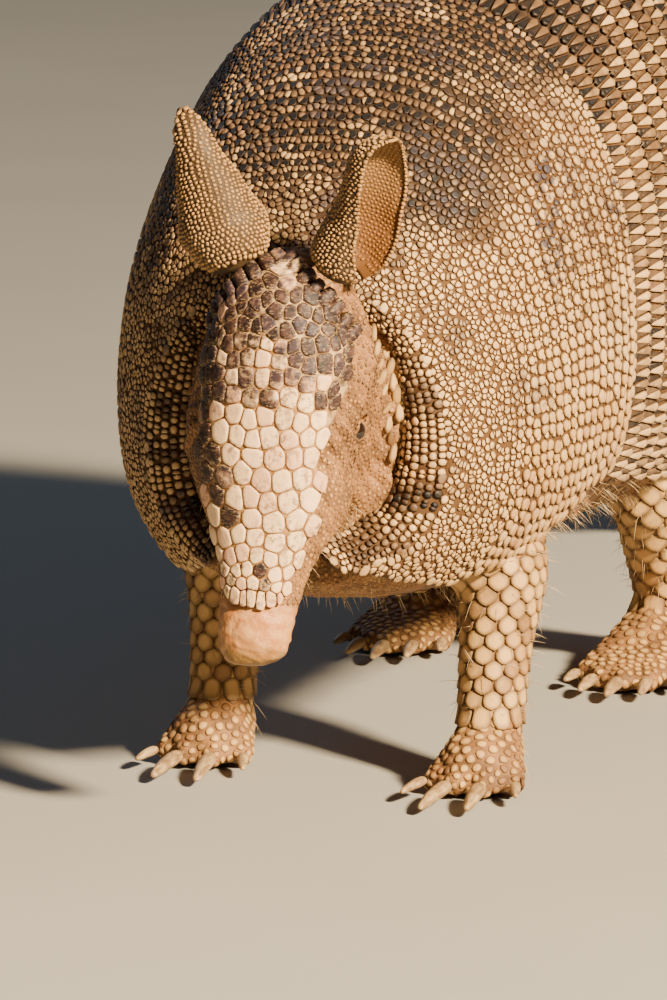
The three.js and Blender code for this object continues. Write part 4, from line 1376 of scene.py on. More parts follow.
def subdivide_where(piece, inside):
    """Subdivides the faces whose middles pass a test on points in millimetres."""
    mesh = piece.data
    chosen = inside(column(mesh.polygons, "center") / MM)
    pick(piece)
    bpy.ops.object.mode_set(mode="EDIT")
    bpy.ops.mesh.select_mode(type="FACE")
    bpy.ops.mesh.select_all(action="DESELECT")
    bpy.ops.object.mode_set(mode="OBJECT")
    mesh.polygons.foreach_set("select", chosen)
    bpy.ops.object.mode_set(mode="EDIT")
    bpy.ops.mesh.subdivide(number_cuts=1, smoothness=0.0)
    bpy.ops.object.mode_set(mode="OBJECT")


def eye_place(side):
    """An eyeball's centre and outward direction, and the long and short ways of its opening."""
    skin, (right, ahead, up) = STORE["skin"], camera_axes()
    start = NOSE_TIP + right * EYE_SPOT[0] + up * EYE_SPOT[1] - ahead * 120
    spot = start + ahead * skin.hit(start, ahead)
    mirror = np.array([1.0 if side == "left" else -1.0, 1.0, 1.0])
    spot = NOSE_TIP + HEAD_AXES @ (to_head(spot) * mirror)
    out = unit((right * 0.64 - ahead * 0.72 + up * 0.14) * mirror)
    centre = skin.near(spot)[0] - out * (EYE_RADIUS - 0.6)
    along = unit(HEAD_LINE - out * dot(out, HEAD_LINE))
    across = np.cross(out, along)
    slant = SIDES[side] * math.radians(-24)
    long = along * math.cos(slant) + across * math.sin(slant)
    return centre, out, long, np.cross(out, long)


class ARMADILLO_OT_skin(bpy.types.Operator):
    """Builds the one skin of head, neck, trunk, legs and feet, with lids, nostrils and folds"""

    bl_idname = "armadillo.skin"
    bl_label = "Skin"

    def execute(self, context):
        piece = joined_copy([*FLESH, "eye_left", "eye_right"], "skin")
        swell, coat = 0.5, 0.4
        apply_modifier(piece, "DISPLACE", strength=swell * MM, mid_level=0.0)
        apply_modifier(piece, "REMESH", mode="VOXEL", voxel_size=1.75 * MM, use_smooth_shade=True)
        apply_modifier(piece, "SMOOTH", factor=0.5, iterations=6)
        apply_modifier(piece, "DISPLACE", strength=-(swell + coat) * MM, mid_level=0.0)
        subdivide_where(piece, lambda p: (p[:, 1] < -262) & (to_head(p)[:, 2] < 100) & (p[:, 2] > 30))
        apply_modifier(piece, "SMOOTH", factor=0.5, iterations=2)
        subdivide_where(piece, lambda p: (to_head(p)[:, 2] < 15) & (p[:, 1] < -280))
        eyes = [sum(box_mm(f"eye_{side}")) / 2 for side in SIDES]
        for reach in (14, 10):
            subdivide_where(
                piece, lambda p: np.any([np.linalg.norm(p - eye, axis=1) < reach for eye in eyes], 0))
        self.shape_face(piece)
        piece.data.materials.append(skin_material("bare_skin", context.scene.armadillo_colours))
        for polygon in piece.data.polygons:
            polygon.use_smooth = True
        finish_piece(piece, FLESH)
        return {"FINISHED"}

    def shape_face(self, piece):
        """Presses in the nostrils, mouth line and folds, and marks for the shader the nose, the nostrils'
        painted shade and the nose tip's painted green reflection.
        """
        mesh = piece.data
        points, normals = fuller(column(mesh.vertices, "co") / MM), column(mesh.vertices, "normal")
        x, v, s = to_head(points).T
        on_head = (s < 108) & (points[:, 1] < -262)
        lift = np.zeros(len(points))
        for side in (-1, 1):
            lift -= 3.2 * np.exp(
                -(((x - side * 3.7) / 1.5) ** 2 + ((v + 0.2) / 1.5) ** 2 + ((s - 0.8) / 2.4) ** 2))
            lift += 0.9 * np.exp(
                -(((x - side * 4.4) / 3.0) ** 2 + ((v + 0.5) / 3.4) ** 2 + ((s - 3.4) / 2.4) ** 2))
        mouth = np.exp(-(((v - through(s, (4, 5.0), (20, 4.6), (44, 8.5), (60, 12.0))) / 0.75) ** 2))
        lift -= 0.9 * mouth * smoothstep(3, 8, s) * (1 - smoothstep(46, 54, s)) * (v > 0)
        lift -= 0.1 * np.exp(-(((x + 5.2 - 0.25 * (s - 8)) / 0.8) ** 2) - ((s - 10) / 5) ** 2) * (v < 0)
        cheek = smoothstep(40, 56, s) * (v > -10)
        lift += cheek * 0.4 * np.sin(s * 1.35 + v * 0.9 + ripple(points, 18, 2) * 1.3)
        lift += ripple(points, 4.5, 6) * 0.06
        lift += 0.10 * np.sin(s * 1.9 + ripple(points, 7, 12) * 2.2) * (s < 17)
        points = points + normals * (lift * on_head)[:, None]
        mesh.vertices.foreach_set("co", (points * MM).ravel())
        mesh.update()
        STORE["skin"] = Ground(*triangles(mesh))
        self.shape_lids(mesh, points)
        # painted shade for the nostrils: a near-black mask over the pressed-in openings
        nostrils = sum(
            np.exp(-(((x - side * 3.7) / 1.3) ** 2 + ((v + 0.2) / 1.3) ** 2 + ((s - 0.8) / 3.4) ** 2))
            for side in (-1, 1))
        # mask for the painted green reflection, strongest at the nose tip and gone about 8 mm behind it
        from_tip = s + ripple(points, 6, 9) * 1.5 + np.abs(x - 2) * 0.12
        for name, values in (
                ("nose", 1 - smoothstep(11, 21, s + ripple(points, 9, 1) * 2)),
                ("dark", np.clip(nostrils * 1.3, 0, 1)), ("under", 1 - smoothstep(-0.5, 8.0, from_tip))):
            mesh.attributes.new(name, "FLOAT", "POINT").data.foreach_set("value", values * on_head)
        mesh.update()

    def shape_lids(self, mesh, points):
        """Opens the lids over the eyeballs: a slit with swollen edges and folds round it."""
        for side in SIDES:
            centre, out, long, short = eye_place(side)
            away = points - centre
            a, b = away @ long, away @ short
            across, up = a / EYE_OPENING[0], b / EYE_OPENING[1]
            turn = np.arctan2(up, across)
            wobble = 1 + 0.04 * np.sin(turn * 5 + 1) + 0.025 * np.sin(turn * 11)
            ring = np.hypot(across, up) / wobble
            height = away @ out
            ball = np.sqrt(np.clip(EYE_RADIUS ** 2 - a ** 2 - b ** 2, 0, None))
            near = (height > -2.0) & (ring < 3.6)
            lid = smoothstep(0.9, 1.02, ring) * (1 - smoothstep(1.2, 1.9, ring))
            inside = 1 - smoothstep(0.86, 1.0, ring)
            shaped = height + (ball + 0.45 - height) * lid
            shaped += (ball - 0.7 - shaped) * inside
            shaped += through(
                ring, (1.3, 0.0), (1.5, -0.3), (1.75, 0.3), (2.05, -0.15), (2.4, 0.2), (2.8, -0.1),
                (3.3, 0))
            points += out * np.where(near, shaped - height, 0)[:, None]
        mesh.vertices.foreach_set("co", (points * MM).ravel())


class ARMADILLO_OT_eyes(bpy.types.Operator):
    """Builds the two dark wet eyes"""

    bl_idname = "armadillo.eyes"
    bl_label = "Eyes"

    def execute(self, context):
        g = Graph("eye", roughness=0.08, shine=0.6)
        g.set(
            "Base Color",
            g.mix(g.noise(2.5, 2).ramp(0.35, 0.7), (0.006, 0.004, 0.003), (0.022, 0.011, 0.006)))
        for side in SIDES:
            centre = eye_place(side)[0]
            deselect()
            bpy.ops.mesh.primitive_uv_sphere_add(
                segments=48, ring_count=32, radius=EYE_RADIUS * MM, location=tuple(centre * MM))
            ball = bpy.context.active_object
            bpy.ops.object.transform_apply(location=True, rotation=True, scale=True)
            bpy.ops.object.shade_smooth()
            ball.name = ball.data.name = f"eyeball_{side}"
            ball.data.materials.append(g.material)
            finish_piece(ball, [f"eye_{side}"])
        return {"FINISHED"}


class ARMADILLO_OT_face_granules(bpy.types.Operator):
    """Builds the granules of cheeks, throat and neck, and the long scales of the collar fold"""

    bl_idname = "armadillo.face_granules"
    bl_label = "Face Granules"

    def execute(self, context):
        ground, rng = STORE["skin"], np.random.default_rng(31)
        pitch = context.scene.armadillo_head.granule_pitch / MM
        eyes = [eye_place(side) for side in SIDES]

        def inside(p, n):
            x, v, s = to_head(p).T
            angle = np.abs(np.arctan2(x, -v))
            face = (s > 16) & (s < 108) & (angle > shield_reach(s) - 0.03)
            neck = (s >= 60) & (p[:, 1] < -246)
            near_head = (p[:, 1] < -246) & (p[:, 2] > 44) & (np.abs(p[:, 0] - 2) < 40)
            clear = np.ones(len(p), bool)  # nothing grows on the lids
            for centre, out, _, _ in eyes:
                across = p - centre
                flat = across - out * (across @ out)[:, None]
                clear &= (np.linalg.norm(flat, axis=1) > 4.2) | ((across @ out) < 0)
            return (face | neck) & near_head & clear & (s > 16)

        def spacing(p):
            return pitch * np.interp(to_head(p)[:, 2], [16, 40, 80, 110], [0.85, 0.95, 1.1, 1.5])

        sites, normals = ground.scatter(inside, spacing, 32)
        reach = cell_edges(sites, normals, HEAD_LINE, 6, 0.04, 6.0, 1.15, cap=0.62)
        x, _, s = to_head(sites).T
        age = 0.15 + 0.25 * smoothstep(70, 40, s) + ripple(sites, 12, 3) * 0.25
        # painted shade: granules darker down the right side of the face, the side turned from the key light;
        # the ripple below adds real stained blotches
        stain = 0.45 * smoothstep(8, 20, -x) * smoothstep(30, 50, s)
        stain += 0.2 * smoothstep(0.3, 0.9, ripple(sites, 16, 9))
        soup = Soup("tone", "age", "stain")
        height = 0.17 * np.clip(reach.mean(1) / 0.62, 0.5, 1.3)
        add_scales(soup, None, sites, normals, HEAD_LINE, reach, height, profile=BEAD, stretch=1.15,
                   unwrap=skin_unwrap(sites), tone=rng.uniform(0, 1, len(sites)), age=age, stain=stain)
        self.add_collar(soup, ground, rng)
        soup.build("face_granules", [bead_granules()], "skin")
        return {"FINISHED"}

    def add_collar(self, soup, ground, rng):
        """Long scales in two rows where the cheek folds against the neck."""
        drop = rounded_outline(12, 2.9, 1.2, 2.6)
        right, ahead, above = camera_axes()
        middle = np.array([NOSE_TIP[0], 0.0, 0.0])
        for side in SIDES.values():
            mirror = np.array([side, 1.0, 1.0])
            for first, last, count in (((28.0, 86.0), (34.0, 53.0), 10), ((31.0, 82.0), (36.5, 60.0), 7)):
                share = np.linspace(0, 1, count) + rng.normal(0, 0.012, count)
                across = first[0] + (last[0] - first[0]) * share ** 0.8
                up = first[1] + (last[1] - first[1]) * share
                start = NOSE_TIP + right * across[:, None] + above * up[:, None] - ahead * 120
                start, way = (start - middle) * mirror + middle, ahead * mirror
                found = np.array([p + way * ground.hit(p, way) for p in start])
                spots, normals = ground.near(found)
                reach = drop * rng.uniform(0.75, 1.1, (count, 1))
                add_scales(soup, None, spots, normals, unit(-HEAD_LINE - way * 0.3), reach, 0.7,
                           unwrap=skin_unwrap(spots), tone=rng.uniform(0, 1, count),
                           age=rng.uniform(0.6, 1.1, count), stain=rng.uniform(0, 0.3, count))


def bead_granules():
    """The granules' material."""
    return remember("beads", bead_material, "granules", bpy.context.scene.armadillo_colours)


# ---- Ears -------------------------------------------------------------------
# Millimetres; span and roll pair a share of the ear's length with its width and with its half-angle.
EARS = {
    "left": {
        "root": (20.0, -292.7, 143.3), "axis": (16.4, -8.4, 34.1), "open": (0.947, -0.321, 0),
        "bend": (1.6, 3.9),
        "span": ((0, 14), (0.1, 20.2), (0.25, 18.3), (0.4, 15.9), (0.55, 14.5), (0.7, 13.2), (0.85, 9.8),
                 (0.95, 5.6), (1, 1.3)),
        "roll": ((0, 2.7), (0.3, 1.89), (0.65, 1.44), (1, 1.17)),
    },
    "right": {
        "root": (-6.2, -291.4, 142.5), "axis": (-15.35, 2.0, 39.8), "open": (-0.203, 0.979, 0),
        "bend": (-0.4, 0.4),
        "span": ((0, 7.5), (0.1, 15.2), (0.25, 16.4), (0.4, 13.5), (0.55, 10.3), (0.7, 6.9), (0.85, 4.2),
                 (0.95, 1.9), (1, 0.5)),
        "roll": ((0, 2.15), (0.3, 1.59), (0.65, 1.5), (1, 0.6)),
    },
}


class ARMADILLO_OT_ears(bpy.types.Operator):
    """Builds the two leaf-shaped ears, beaded on both sides, with a notched rim"""

    bl_idname = "armadillo.ears"
    bl_label = "Ears"

    def execute(self, context):
        rng = np.random.default_rng(41)
        pitch = context.scene.armadillo_head.ear_pitch / MM
        material = self.material(context.scene.armadillo_colours)
        for side in SIDES:
            soup = Soup("tone", "inside", "root")
            u = np.linspace(0, 1, 64)[:, None]
            v = np.linspace(-1, 1, 49)[None]
            outer = self.leaf(side, u, v, EAR_THICKNESS * self.thin(u, v))
            inner = self.leaf(side, u, v, EAR_THICKNESS * (1 - self.thin(u, v)) * 0.9)
            unwrap = np.stack(np.broadcast_arrays((v + 1) / 2, u), -1)
            points, faces = closed_sheet(outer, inner)
            soup.add(
                points, faces, 0, np.concatenate([strip(unwrap, "outer"), strip(unwrap, "inner")]), rim=1.0,
                tone=0.5, inside=np.repeat([0.0, 1.0], u.size * v.size),
                root=np.tile(np.repeat(u, v.size), 2))
            for face in (0, 1):
                self.add_beads(soup, side, face, pitch, rng)
            self.add_rim(soup, side, rng)
            soup.build(f"ear_{side}_skin", [material], "ear", [f"ear_{side}"])
        return {"FINISHED"}

    def thin(self, u, v):
        """The leaf thins towards its rim."""
        return 0.5 + 0.5 * smoothstep(1.0, 0.8, np.maximum(np.abs(v), u))

    def leaf(self, side, u, v, lift):
        """Points of an ear by share of its length, share of the way round its roll, and lift outwards."""
        ear = EARS[side]
        axis = np.array(ear["axis"])
        up = unit(axis)
        facing = unit(np.array(ear["open"]) - up * dot(np.array(ear["open"]), up))
        across = np.cross(up, facing)
        u, v, lift = floats(u, v, lift)
        wrap = through(u, *ear["roll"])
        radius = through(u, *ear["span"]) / wrap
        ripples = 0.22 * np.sin(u * 19 + v * 3) * np.abs(v) ** 2
        out = across * np.sin(v * wrap)[..., None] - facing * np.cos(v * wrap)[..., None]
        bend = (facing * ear["bend"][0] + across * ear["bend"][1]) * np.sin(u * math.pi)[..., None]
        return np.array(ear["root"]) + axis * u[..., None] + out * (radius + lift + ripples)[..., None] + bend

    def add_beads(self, soup, side, face, pitch, rng):
        """Rows of small domes over one face of the leaf."""
        u_of, v_of = [], []
        rows = int(np.linalg.norm(EARS[side]["axis"]) / (pitch * 0.88))
        for r in range(2, rows):
            u = (r + 0.3) / rows
            count = max(2, int(2 * through(np.array([u]), *EARS[side]["span"])[0] / pitch))
            v = (np.arange(count) + 0.25 + 0.5 * (r % 2)) / count * 2 - 1
            v = v[np.abs(v) < 0.985]
            v_of.append(v + rng.normal(0, 0.22 / count, len(v)))
            u_of.append(u + rng.normal(0, 0.004, len(v)))
        u, v = np.concatenate(u_of), np.concatenate(v_of)
        if face:
            keep = (u > 0.5) | (np.abs(v) > 0.3 + 0.3 * (0.5 - u)) | (rng.random(len(u)) < 0.35)
            u, v = u[keep], v[keep]
        lift = EAR_THICKNESS * (self.thin(u, v) if not face else (1 - self.thin(u, v)) * 0.9)
        sites = self.leaf(side, u, v, lift)
        along = self.leaf(side, u + 0.01, v, lift) - self.leaf(side, u - 0.01, v, lift)
        around = self.leaf(side, u, v + 0.02, lift) - self.leaf(side, u, v - 0.02, lift)
        normals = unit(np.cross(around, along))
        outward = sites - self.leaf(side, u, v, lift - 1)
        normals = np.where(dot(normals, outward) * (-1 if face else 1) < 0, -normals, normals)
        reach = cell_edges(sites, normals, along, 7, 0.03, 5.0, cap=0.62)
        add_scales(
            soup, None, sites - normals * 0.05, normals, unit(along), reach,
            0.40 * np.clip(reach.mean(1) / 0.5, 0.6, 1.2) * (0.6 if face else 1.0), profile=BEAD, tilt=-0.2,
            unwrap=strip(np.stack([(v + 1) / 2, u * 0.5 + face * 0.5], -1), "scales"),
            tone=rng.uniform(0, 1, len(u)), inside=float(face), root=u)

    def add_rim(self, soup, side, rng):
        """Small beads that notch the rim."""
        u = np.r_[np.linspace(0.12, 1, 46), np.linspace(1, 0.12, 46)[1:]]
        v = np.r_[np.full(46, -1.0), np.full(45, 1.0)]
        line = self.leaf(side, u, v, 0.5)
        travel = travelled(line)
        count = int(travel[-1] / 1.05)
        stops = (np.arange(count) + 0.5) / count * travel[-1]
        sites = at_stops(stops, travel, line)
        middle = self.leaf(side, np.interp(stops, travel, u) * 0.92, np.interp(stops, travel, v) * 0.85, 0.5)
        out = unit(sites - middle)
        ahead = unit(np.gradient(sites, axis=0))
        reach = np.full((count, 7), 0.56) * rng.uniform(0.85, 1.15, (count, 1))
        add_scales(
            soup, None, sites - out * 0.15, out, ahead, reach, 0.62 * rng.uniform(0.8, 1.2, count),
            profile=BEAD, unwrap=strip(np.stack([stops / travel[-1], np.full(count, 1.02)], -1), "scales"),
            tone=rng.uniform(0.3, 1, count), inside=0.2, root=np.interp(stops, travel, u))

    def material(self, colours):
        """Granular ear skin: tan outside; the hollow carries a painted glow, the orange of light shining
        through the thin ear, darker and redder towards the root.
        """
        g = Graph("ear_skin", shine=0.4)
        tone, rim, inside, root = g.field("tone"), g.field("rim"), g.field("inside"), g.field("root")
        fine = g.noise(0.6, 3)
        tint = (tone * 0.5 + g.noise(6, 3) * 0.7).ramp(0.25, 0.9)
        # painted glow: the orange of light shining through the thin ear, darker and redder at the root where
        # less light comes through
        painted_glow = g.mix(root.ramp(0.2, 0.8), (0.17, 0.056, 0.005), (0.21, 0.105, 0.028))
        base = g.over(
            g.mix(tint, times(colours.ear, 0.72), times(colours.ear, 1.35)),
            # the inner side of the ear takes the painted glow
            (inside * 0.85, painted_glow),
            (rim.ramp(0.72, 0.98) * (1 - inside * 0.5) * 0.95, times(colours.ear, 0.10)))
        return g.finished(base, (0.5 + fine * 0.25).clamped(), fine, 0.08, 0.7)


# ---- Legs, feet, claws ------------------------------------------------------
def leg_axis(pair, side):
    """Heights of a leg's middle line with its x and y."""
    x, y = (FOREFOOT if pair == "fore" else HINDFOOT)[side]
    out = SIDES[side]
    if pair == "fore":
        return ((16, x, y + 2), (34, x, y + 6), (58, x + out, y + 10), (84, x - 4 * out, y + 10))
    return ((17, x, y + 14), (38, x + out, y - 2), (57, x + 3 * out, y - 14), (74, x + 3 * out, y - 6),
            (92, x - 2 * out, y + 8))


class ARMADILLO_OT_leg_scales(bpy.types.Operator):
    """Builds the rows of scales round the legs and the small scales on feet and belly"""

    bl_idname = "armadillo.leg_scales"
    bl_label = "Leg and Belly Scales"

    def execute(self, context):
        rng = np.random.default_rng(51)
        skin = STORE["skin"]
        soup = Soup("tone", "age", "stain")
        for side in SIDES:
            for pair in ("fore", "hind"):
                self.add_rows(soup, skin, pair, side, rng)
        self.add_feet(soup, skin, rng)
        soup.build("leg_scales", [bead_granules()], "skin")
        belly = Soup("tone", "age", "stain")
        self.add_belly(belly, skin, rng)
        belly.build("belly_scales", [bead_granules()], "skin")
        return {"FINISHED"}

    def add_rows(self, soup, skin, pair, side, rng):
        """Rings of scales round one leg, overlapping downwards."""
        leg = Ground.of_nodes([f"{pair}leg_{side}", f"{pair}foot_{side}"])
        height, x, y = zip(*leg_axis(pair, side))
        spots, ages = [], []
        for row, z in enumerate(np.arange(20.0, 80.0, 3.9)):
            centre = np.array([through(z, *zip(height, x)), through(z, *zip(height, y)), z])
            count = int(through(z, (20, 11), (45, 14), (80, 18)))
            for k in range(count):
                angle = (k + 0.5 * (row % 2)) / count * 2 * math.pi
                out = np.array([math.sin(angle), -math.cos(angle), 0])
                distance = leg.hit(centre + out * 40, -out)
                if distance < 39:
                    spots.append(centre + out * (40 - distance))
                    ages.append(0.6 + 0.3 * max(0, math.cos(angle)) + rng.normal(0, 0.14))
        spots, normals = skin.near(np.array(spots))
        flat = np.abs(normals[:, 2]) < 0.75
        spots, normals, ages = spots[flat], normals[flat], np.array(ages)[flat]
        down = np.array([0, 0, -1.0])
        reach = cell_edges(spots, normals, down, 14, 0.0, 9.0, 0.95, cap=0.8) * 1.05
        add_scales(
            soup, skin, spots - normals * 0.1, normals, down, reach, 0.9, SLATE, stretch=0.95, tilt=0.12,
            unwrap=skin_unwrap(spots), tone=rng.uniform(0, 1, len(spots)), age=ages)

    def add_feet(self, soup, skin, rng):
        """Small scales over the feet and toes."""
        def inside(p, n):
            foot = np.zeros(len(p), bool)
            for feet, back in ((FOREFOOT, 12), (HINDFOOT, 30)):
                for x, y in feet.values():
                    foot |= (np.abs(p[:, 0] - x) < 20) & (p[:, 1] > y - 42) & (p[:, 1] < y + back)
            return foot & (p[:, 2] < 21) & (p[:, 2] > 1.2) & (n[:, 2] > -0.35)

        sites, normals = skin.scatter(inside, lambda p: through(p[:, 2], (2, 2.0), (10, 2.5), (20, 3.4)), 52)
        sites, normals = settle(skin, sites, -BACK, 1)
        reach = cell_edges(sites, normals, -BACK, 9, 0.1, 6.0, cap=0.64)
        add_scales(
            soup, skin, sites, normals, -BACK, reach, 0.42, tilt=0.06, unwrap=skin_unwrap(sites),
            profile=((0, 1.0), (0.55, 0.9), (0.86, 0.5), (1, -0.5)), tone=rng.uniform(0, 1, len(sites)),
            age=0.7 + ripple(sites, 14, 2) * 0.3)

    def add_belly(self, soup, skin, rng):
        """Warts in rough rows on the belly and the insides of the legs, and granules between them."""
        def inside(p, n):
            return (p[:, 1] > -236) & (p[:, 1] < 34) & (p[:, 2] > 21) & (p[:, 2] < 75) & (n[:, 2] < 0.35)

        sites, normals = skin.scatter(inside, 5.2, 53)
        reach = np.full((len(sites), 9), 1.5) * rng.uniform(0.7, 1.25, (len(sites), 1))
        add_scales(
            soup, skin, sites, normals, BACK, reach, 0.55, unwrap=skin_unwrap(sites),
            profile=((0, 1.0), (0.6, 0.85), (0.88, 0.5), (1, -0.5)), tone=rng.uniform(0, 1, len(sites)),
            age=0.55 + ripple(sites, 30, 2) * 0.2)
        STORE["warts"] = (sites, normals)


class ARMADILLO_OT_claws(bpy.types.Operator):
    """Builds the eighteen horn claws"""

    bl_idname = "armadillo.claws"
    bl_label = "Claws"

    def execute(self, context):
        g = Graph("claw_horn", shine=0.5)
        streaks = g.noise(1.2, 3, 0.6, (1, 0.25, 1))
        base = g.mix(streaks.ramp(0.3, 0.7), (0.19, 0.11, 0.05), (0.42, 0.29, 0.15))
        base = g.mix(g.noise(4, 3).ramp(0.5, 0.75) * 0.6, base, (0.16, 0.09, 0.045))
        horn = g.finished(base, (0.3 + streaks * 0.3).clamped(), streaks, 0.12, 0.7)
        for pair, toes in (("fore", 4), ("hind", 5)):
            for side in SIDES:
                names = [f"{pair}claw_{side}_{i + 1}" for i in range(toes)]
                piece = joined_copy(names, f"{pair}claws_{side}")
                apply_modifier(piece, "SUBSURF", levels=2, render_levels=2)
                apply_modifier(piece, "DISPLACE", strength=0.22 * MM, mid_level=0.0)
                pick(piece)
                bpy.ops.object.shade_smooth()
                piece.data.materials.append(horn)
                finish_piece(piece, names)
        return {"FINISHED"}


# ---- Tail -------------------------------------------------------------------
class ARMADILLO_OT_tail(bpy.types.Operator):
    """Builds the tail with its bony rings, each set with two rows of scales, and the finely scaled tip"""

    bl_idname = "armadillo.tail"
    bl_label = "Tail"

    def execute(self, context):
        rng = np.random.default_rng(61)
        ys = np.linspace(box_mm("tail_root")[0][1] + 1, box_mm("tail_tip")[1][1] - 0.6, 190)
        y, x, z = zip(*TAIL_LINE)
        spine = np.stack([through(ys, *zip(y, x)), ys, through(ys, *zip(y, z))], 1)
        tail = Measured(TAIL, spine, (0, 0, 1), math.pi, 49, (3.0, 1.5), True, 60.0)
        self.travel = travelled(spine)
        length = self.travel[-1]
        ringed, rings = np.interp(box_mm("tail_middle")[1][1], ys, self.travel), 13
        edges = ringed * (np.arange(rings + 1) / rings) ** 0.97
        soup = Soup("tone", "age", "stain")
        place = np.linspace(0, 1, 220)[:, None]
        angle = np.linspace(-math.pi, math.pi, 41)[None]
        self.add_tube(soup, tail.raised(place, angle, self.rise(place * length, edges) - 0.55)[:, :-1])
        sites, spots = [], []
        for i in range(rings):
            span = edges[i + 1] - edges[i]
            for share, row in ((0.30, 0), (0.74, 1)):
                self.add_ring(tail, edges[i] + span * share, 4.4, row, sites, spots, rng)
        step, row = ringed + 2.0, 0
        while step < length - 3:
            radius = tail.reach[min(int(step / length * 189), 189)].mean()
            self.add_ring(tail, step, max(2.0, radius * 0.62), row, sites, spots, rng)
            step += max(2.0, min(3.6, radius * 0.55))
            row += 1
        sites, spots = np.concatenate(sites), np.concatenate(spots)
        normals = tail.normal(spots[:, 0], spots[:, 1])
        sites = sites + normals * (self.rise(spots[:, 0] * length, edges) - 0.35)[:, None]
        reach = cell_edges(sites, normals, BACK, 10, 0.14, 6.0, 1.0, cap=0.66)
        add_scales(
            soup, None, sites, normals, BACK, reach, 0.62 * np.clip(reach.mean(1) / 1.7, 0.5, 1.1),
            tilt=0.09,
            unwrap=strip(np.stack([0.5 + spots[:, 1] / math.pi * 0.49, spots[:, 0]], -1), "scales"),
            patch=0.006, tone=rng.uniform(0, 1, len(sites)),
            age=0.40 + 0.2 * ripple(sites, 40, 4) + 0.2 * (1 - spots[:, 0]), stain=0.0)
        horn = horn_material("tail_horn", context.scene.armadillo_colours)
        soup.build("tail_scales", [horn, shell_materials()[1]], "tail", TAIL)
        return {"FINISHED"}

    def rise(self, travel, edges):
        """Sawtooth of the rings: each is highest at its rear edge, and the next begins below it."""
        travel = np.asarray(travel, float)
        ring = np.clip(np.searchsorted(edges, travel, "right") - 1, 0, len(edges) - 2)
        share = np.clip((travel - edges[ring]) / (edges[ring + 1] - edges[ring]), 0, 1)
        step = -0.9 + 1.7 * share - 1.2 * smoothstep(0.95, 1.0, share)
        return np.where(travel < edges[-1], step, -0.1)

    def add_ring(self, tail, travel, wide, row, sites, spots, rng):
        """One ring of sites round the tail."""
        place = travel / self.travel[-1]
        radius = tail.reach[min(int(place * 189), 189)].mean()
        count = max(6, round(2 * math.pi * radius / wide))
        angle = (np.arange(count) + 0.5 * (row % 2)) / count * 2 * math.pi - math.pi
        place = np.full(count, place) + rng.normal(0, 0.0006, count)
        sites.append(tail.at(place, angle))
        spots.append(np.stack([place, angle], 1))

    def add_tube(self, soup, body):
        """A closed tube through rings of points."""
        rows, count = body.shape[:2]
        ends = body[[0, -1]].mean(1)
        points = np.concatenate([body.reshape(-1, 3), ends])
        k = np.arange(count)
        after = (k + 1) % count
        quads = np.concatenate([np.stack([r * count + k, r * count + after, (r + 1) * count + after,
                                          (r + 1) * count + k], 1) for r in range(rows - 1)])
        first = np.stack([np.full(count, rows * count), after, k], 1)
        last = np.stack(
            [np.full(count, rows * count + 1), (rows - 1) * count + k, (rows - 1) * count + after], 1)
        u, v = np.meshgrid(k / count, np.linspace(0, 1, rows))
        unwrap = np.concatenate([strip(np.stack([u, v], -1), "outer"), [[0.5, 0.01], [0.5, 0.15]]])
        soup.add(points, [quads, first, last], 1, unwrap, rim=1.0, age=0.3)


# ---- Hairs ------------------------------------------------------------------
class ARMADILLO_OT_hairs(bpy.types.Operator):
    """Builds the sparse pale bristles of cheeks, throat, belly, legs and shell margins"""

    bl_idname = "armadillo.hairs"
    bl_label = "Bristles"

    def execute(self, context):
        rng = np.random.default_rng(71)
        skin, length = STORE["skin"], context.scene.armadillo_head.bristle / MM
        soup = Soup("tone")

        def cheeks(p, n):
            _, v, s = to_head(p).T
            return (s > 18) & (s < 42) & (v > 3) & (p[:, 1] < -262)

        roots, normals = skin.scatter(cheeks, 2.6, 72)
        way = normals + np.array([0, 0.1, -0.35])
        s = to_head(roots)[:, 2]
        lengths = length * through(s, (20, 0.45), (50, 0.85), (98, 1.1)) * rng.uniform(0.6, 1.2, len(s))
        add_hairs(soup, roots, way, lengths, 0.17, skin_unwrap(roots), seed=73)
        warts, facing = STORE["warts"]
        for k in range(2):
            add_hairs(soup, warts + rng.normal(0, 0.5, warts.shape), facing + BACK * 0.9,
                      rng.uniform(3, 7, len(warts)), 0.18, skin_unwrap(warts), (0, 0.1, -0.2), 74 + k)

        def legs(p, n):
            return (p[:, 2] > 8) & (p[:, 2] < 52) & (p[:, 1] > -262) & (np.abs(n[:, 2]) < 0.8)

        roots, normals = skin.scatter(legs, 5.0, 78)
        add_hairs(
            soup, roots, normals * 0.5 + np.array([0, 0.3, -1.0]), rng.uniform(3, 6.5, len(roots)), 0.16,
            skin_unwrap(roots), seed=79)
        shell = carapace()
        share = np.r_[np.linspace(-1, -0.3, 60), np.linspace(0.3, 1, 60)]
        for node in BANDS:
            rear = box_mm(node)[1][1] - EDGE_BOW
            at = share + rng.normal(0, 0.004, len(share))
            y = bowed(rear)(at)
            add_hairs(
                soup, shell.at(y - 0.6, at, -0.5), BACK + shell.normal(y, at) * 0.35,
                rng.uniform(2.0, 4.5, len(at)), 0.13, strip(shell.unwrap(y, at), "scales"), (0, 0, -0.1),
                90)
        g = Graph("bristles", shine=0.4)
        g.set("Base Color", g.mix(g.field("tone"), (0.22, 0.14, 0.07), (0.60, 0.46, 0.28)))
        g.set("Roughness", 0.45 + g.noise(3) * 0.2)
        soup.build("bristles", [g.material], "skin")
        return {"FINISHED"}


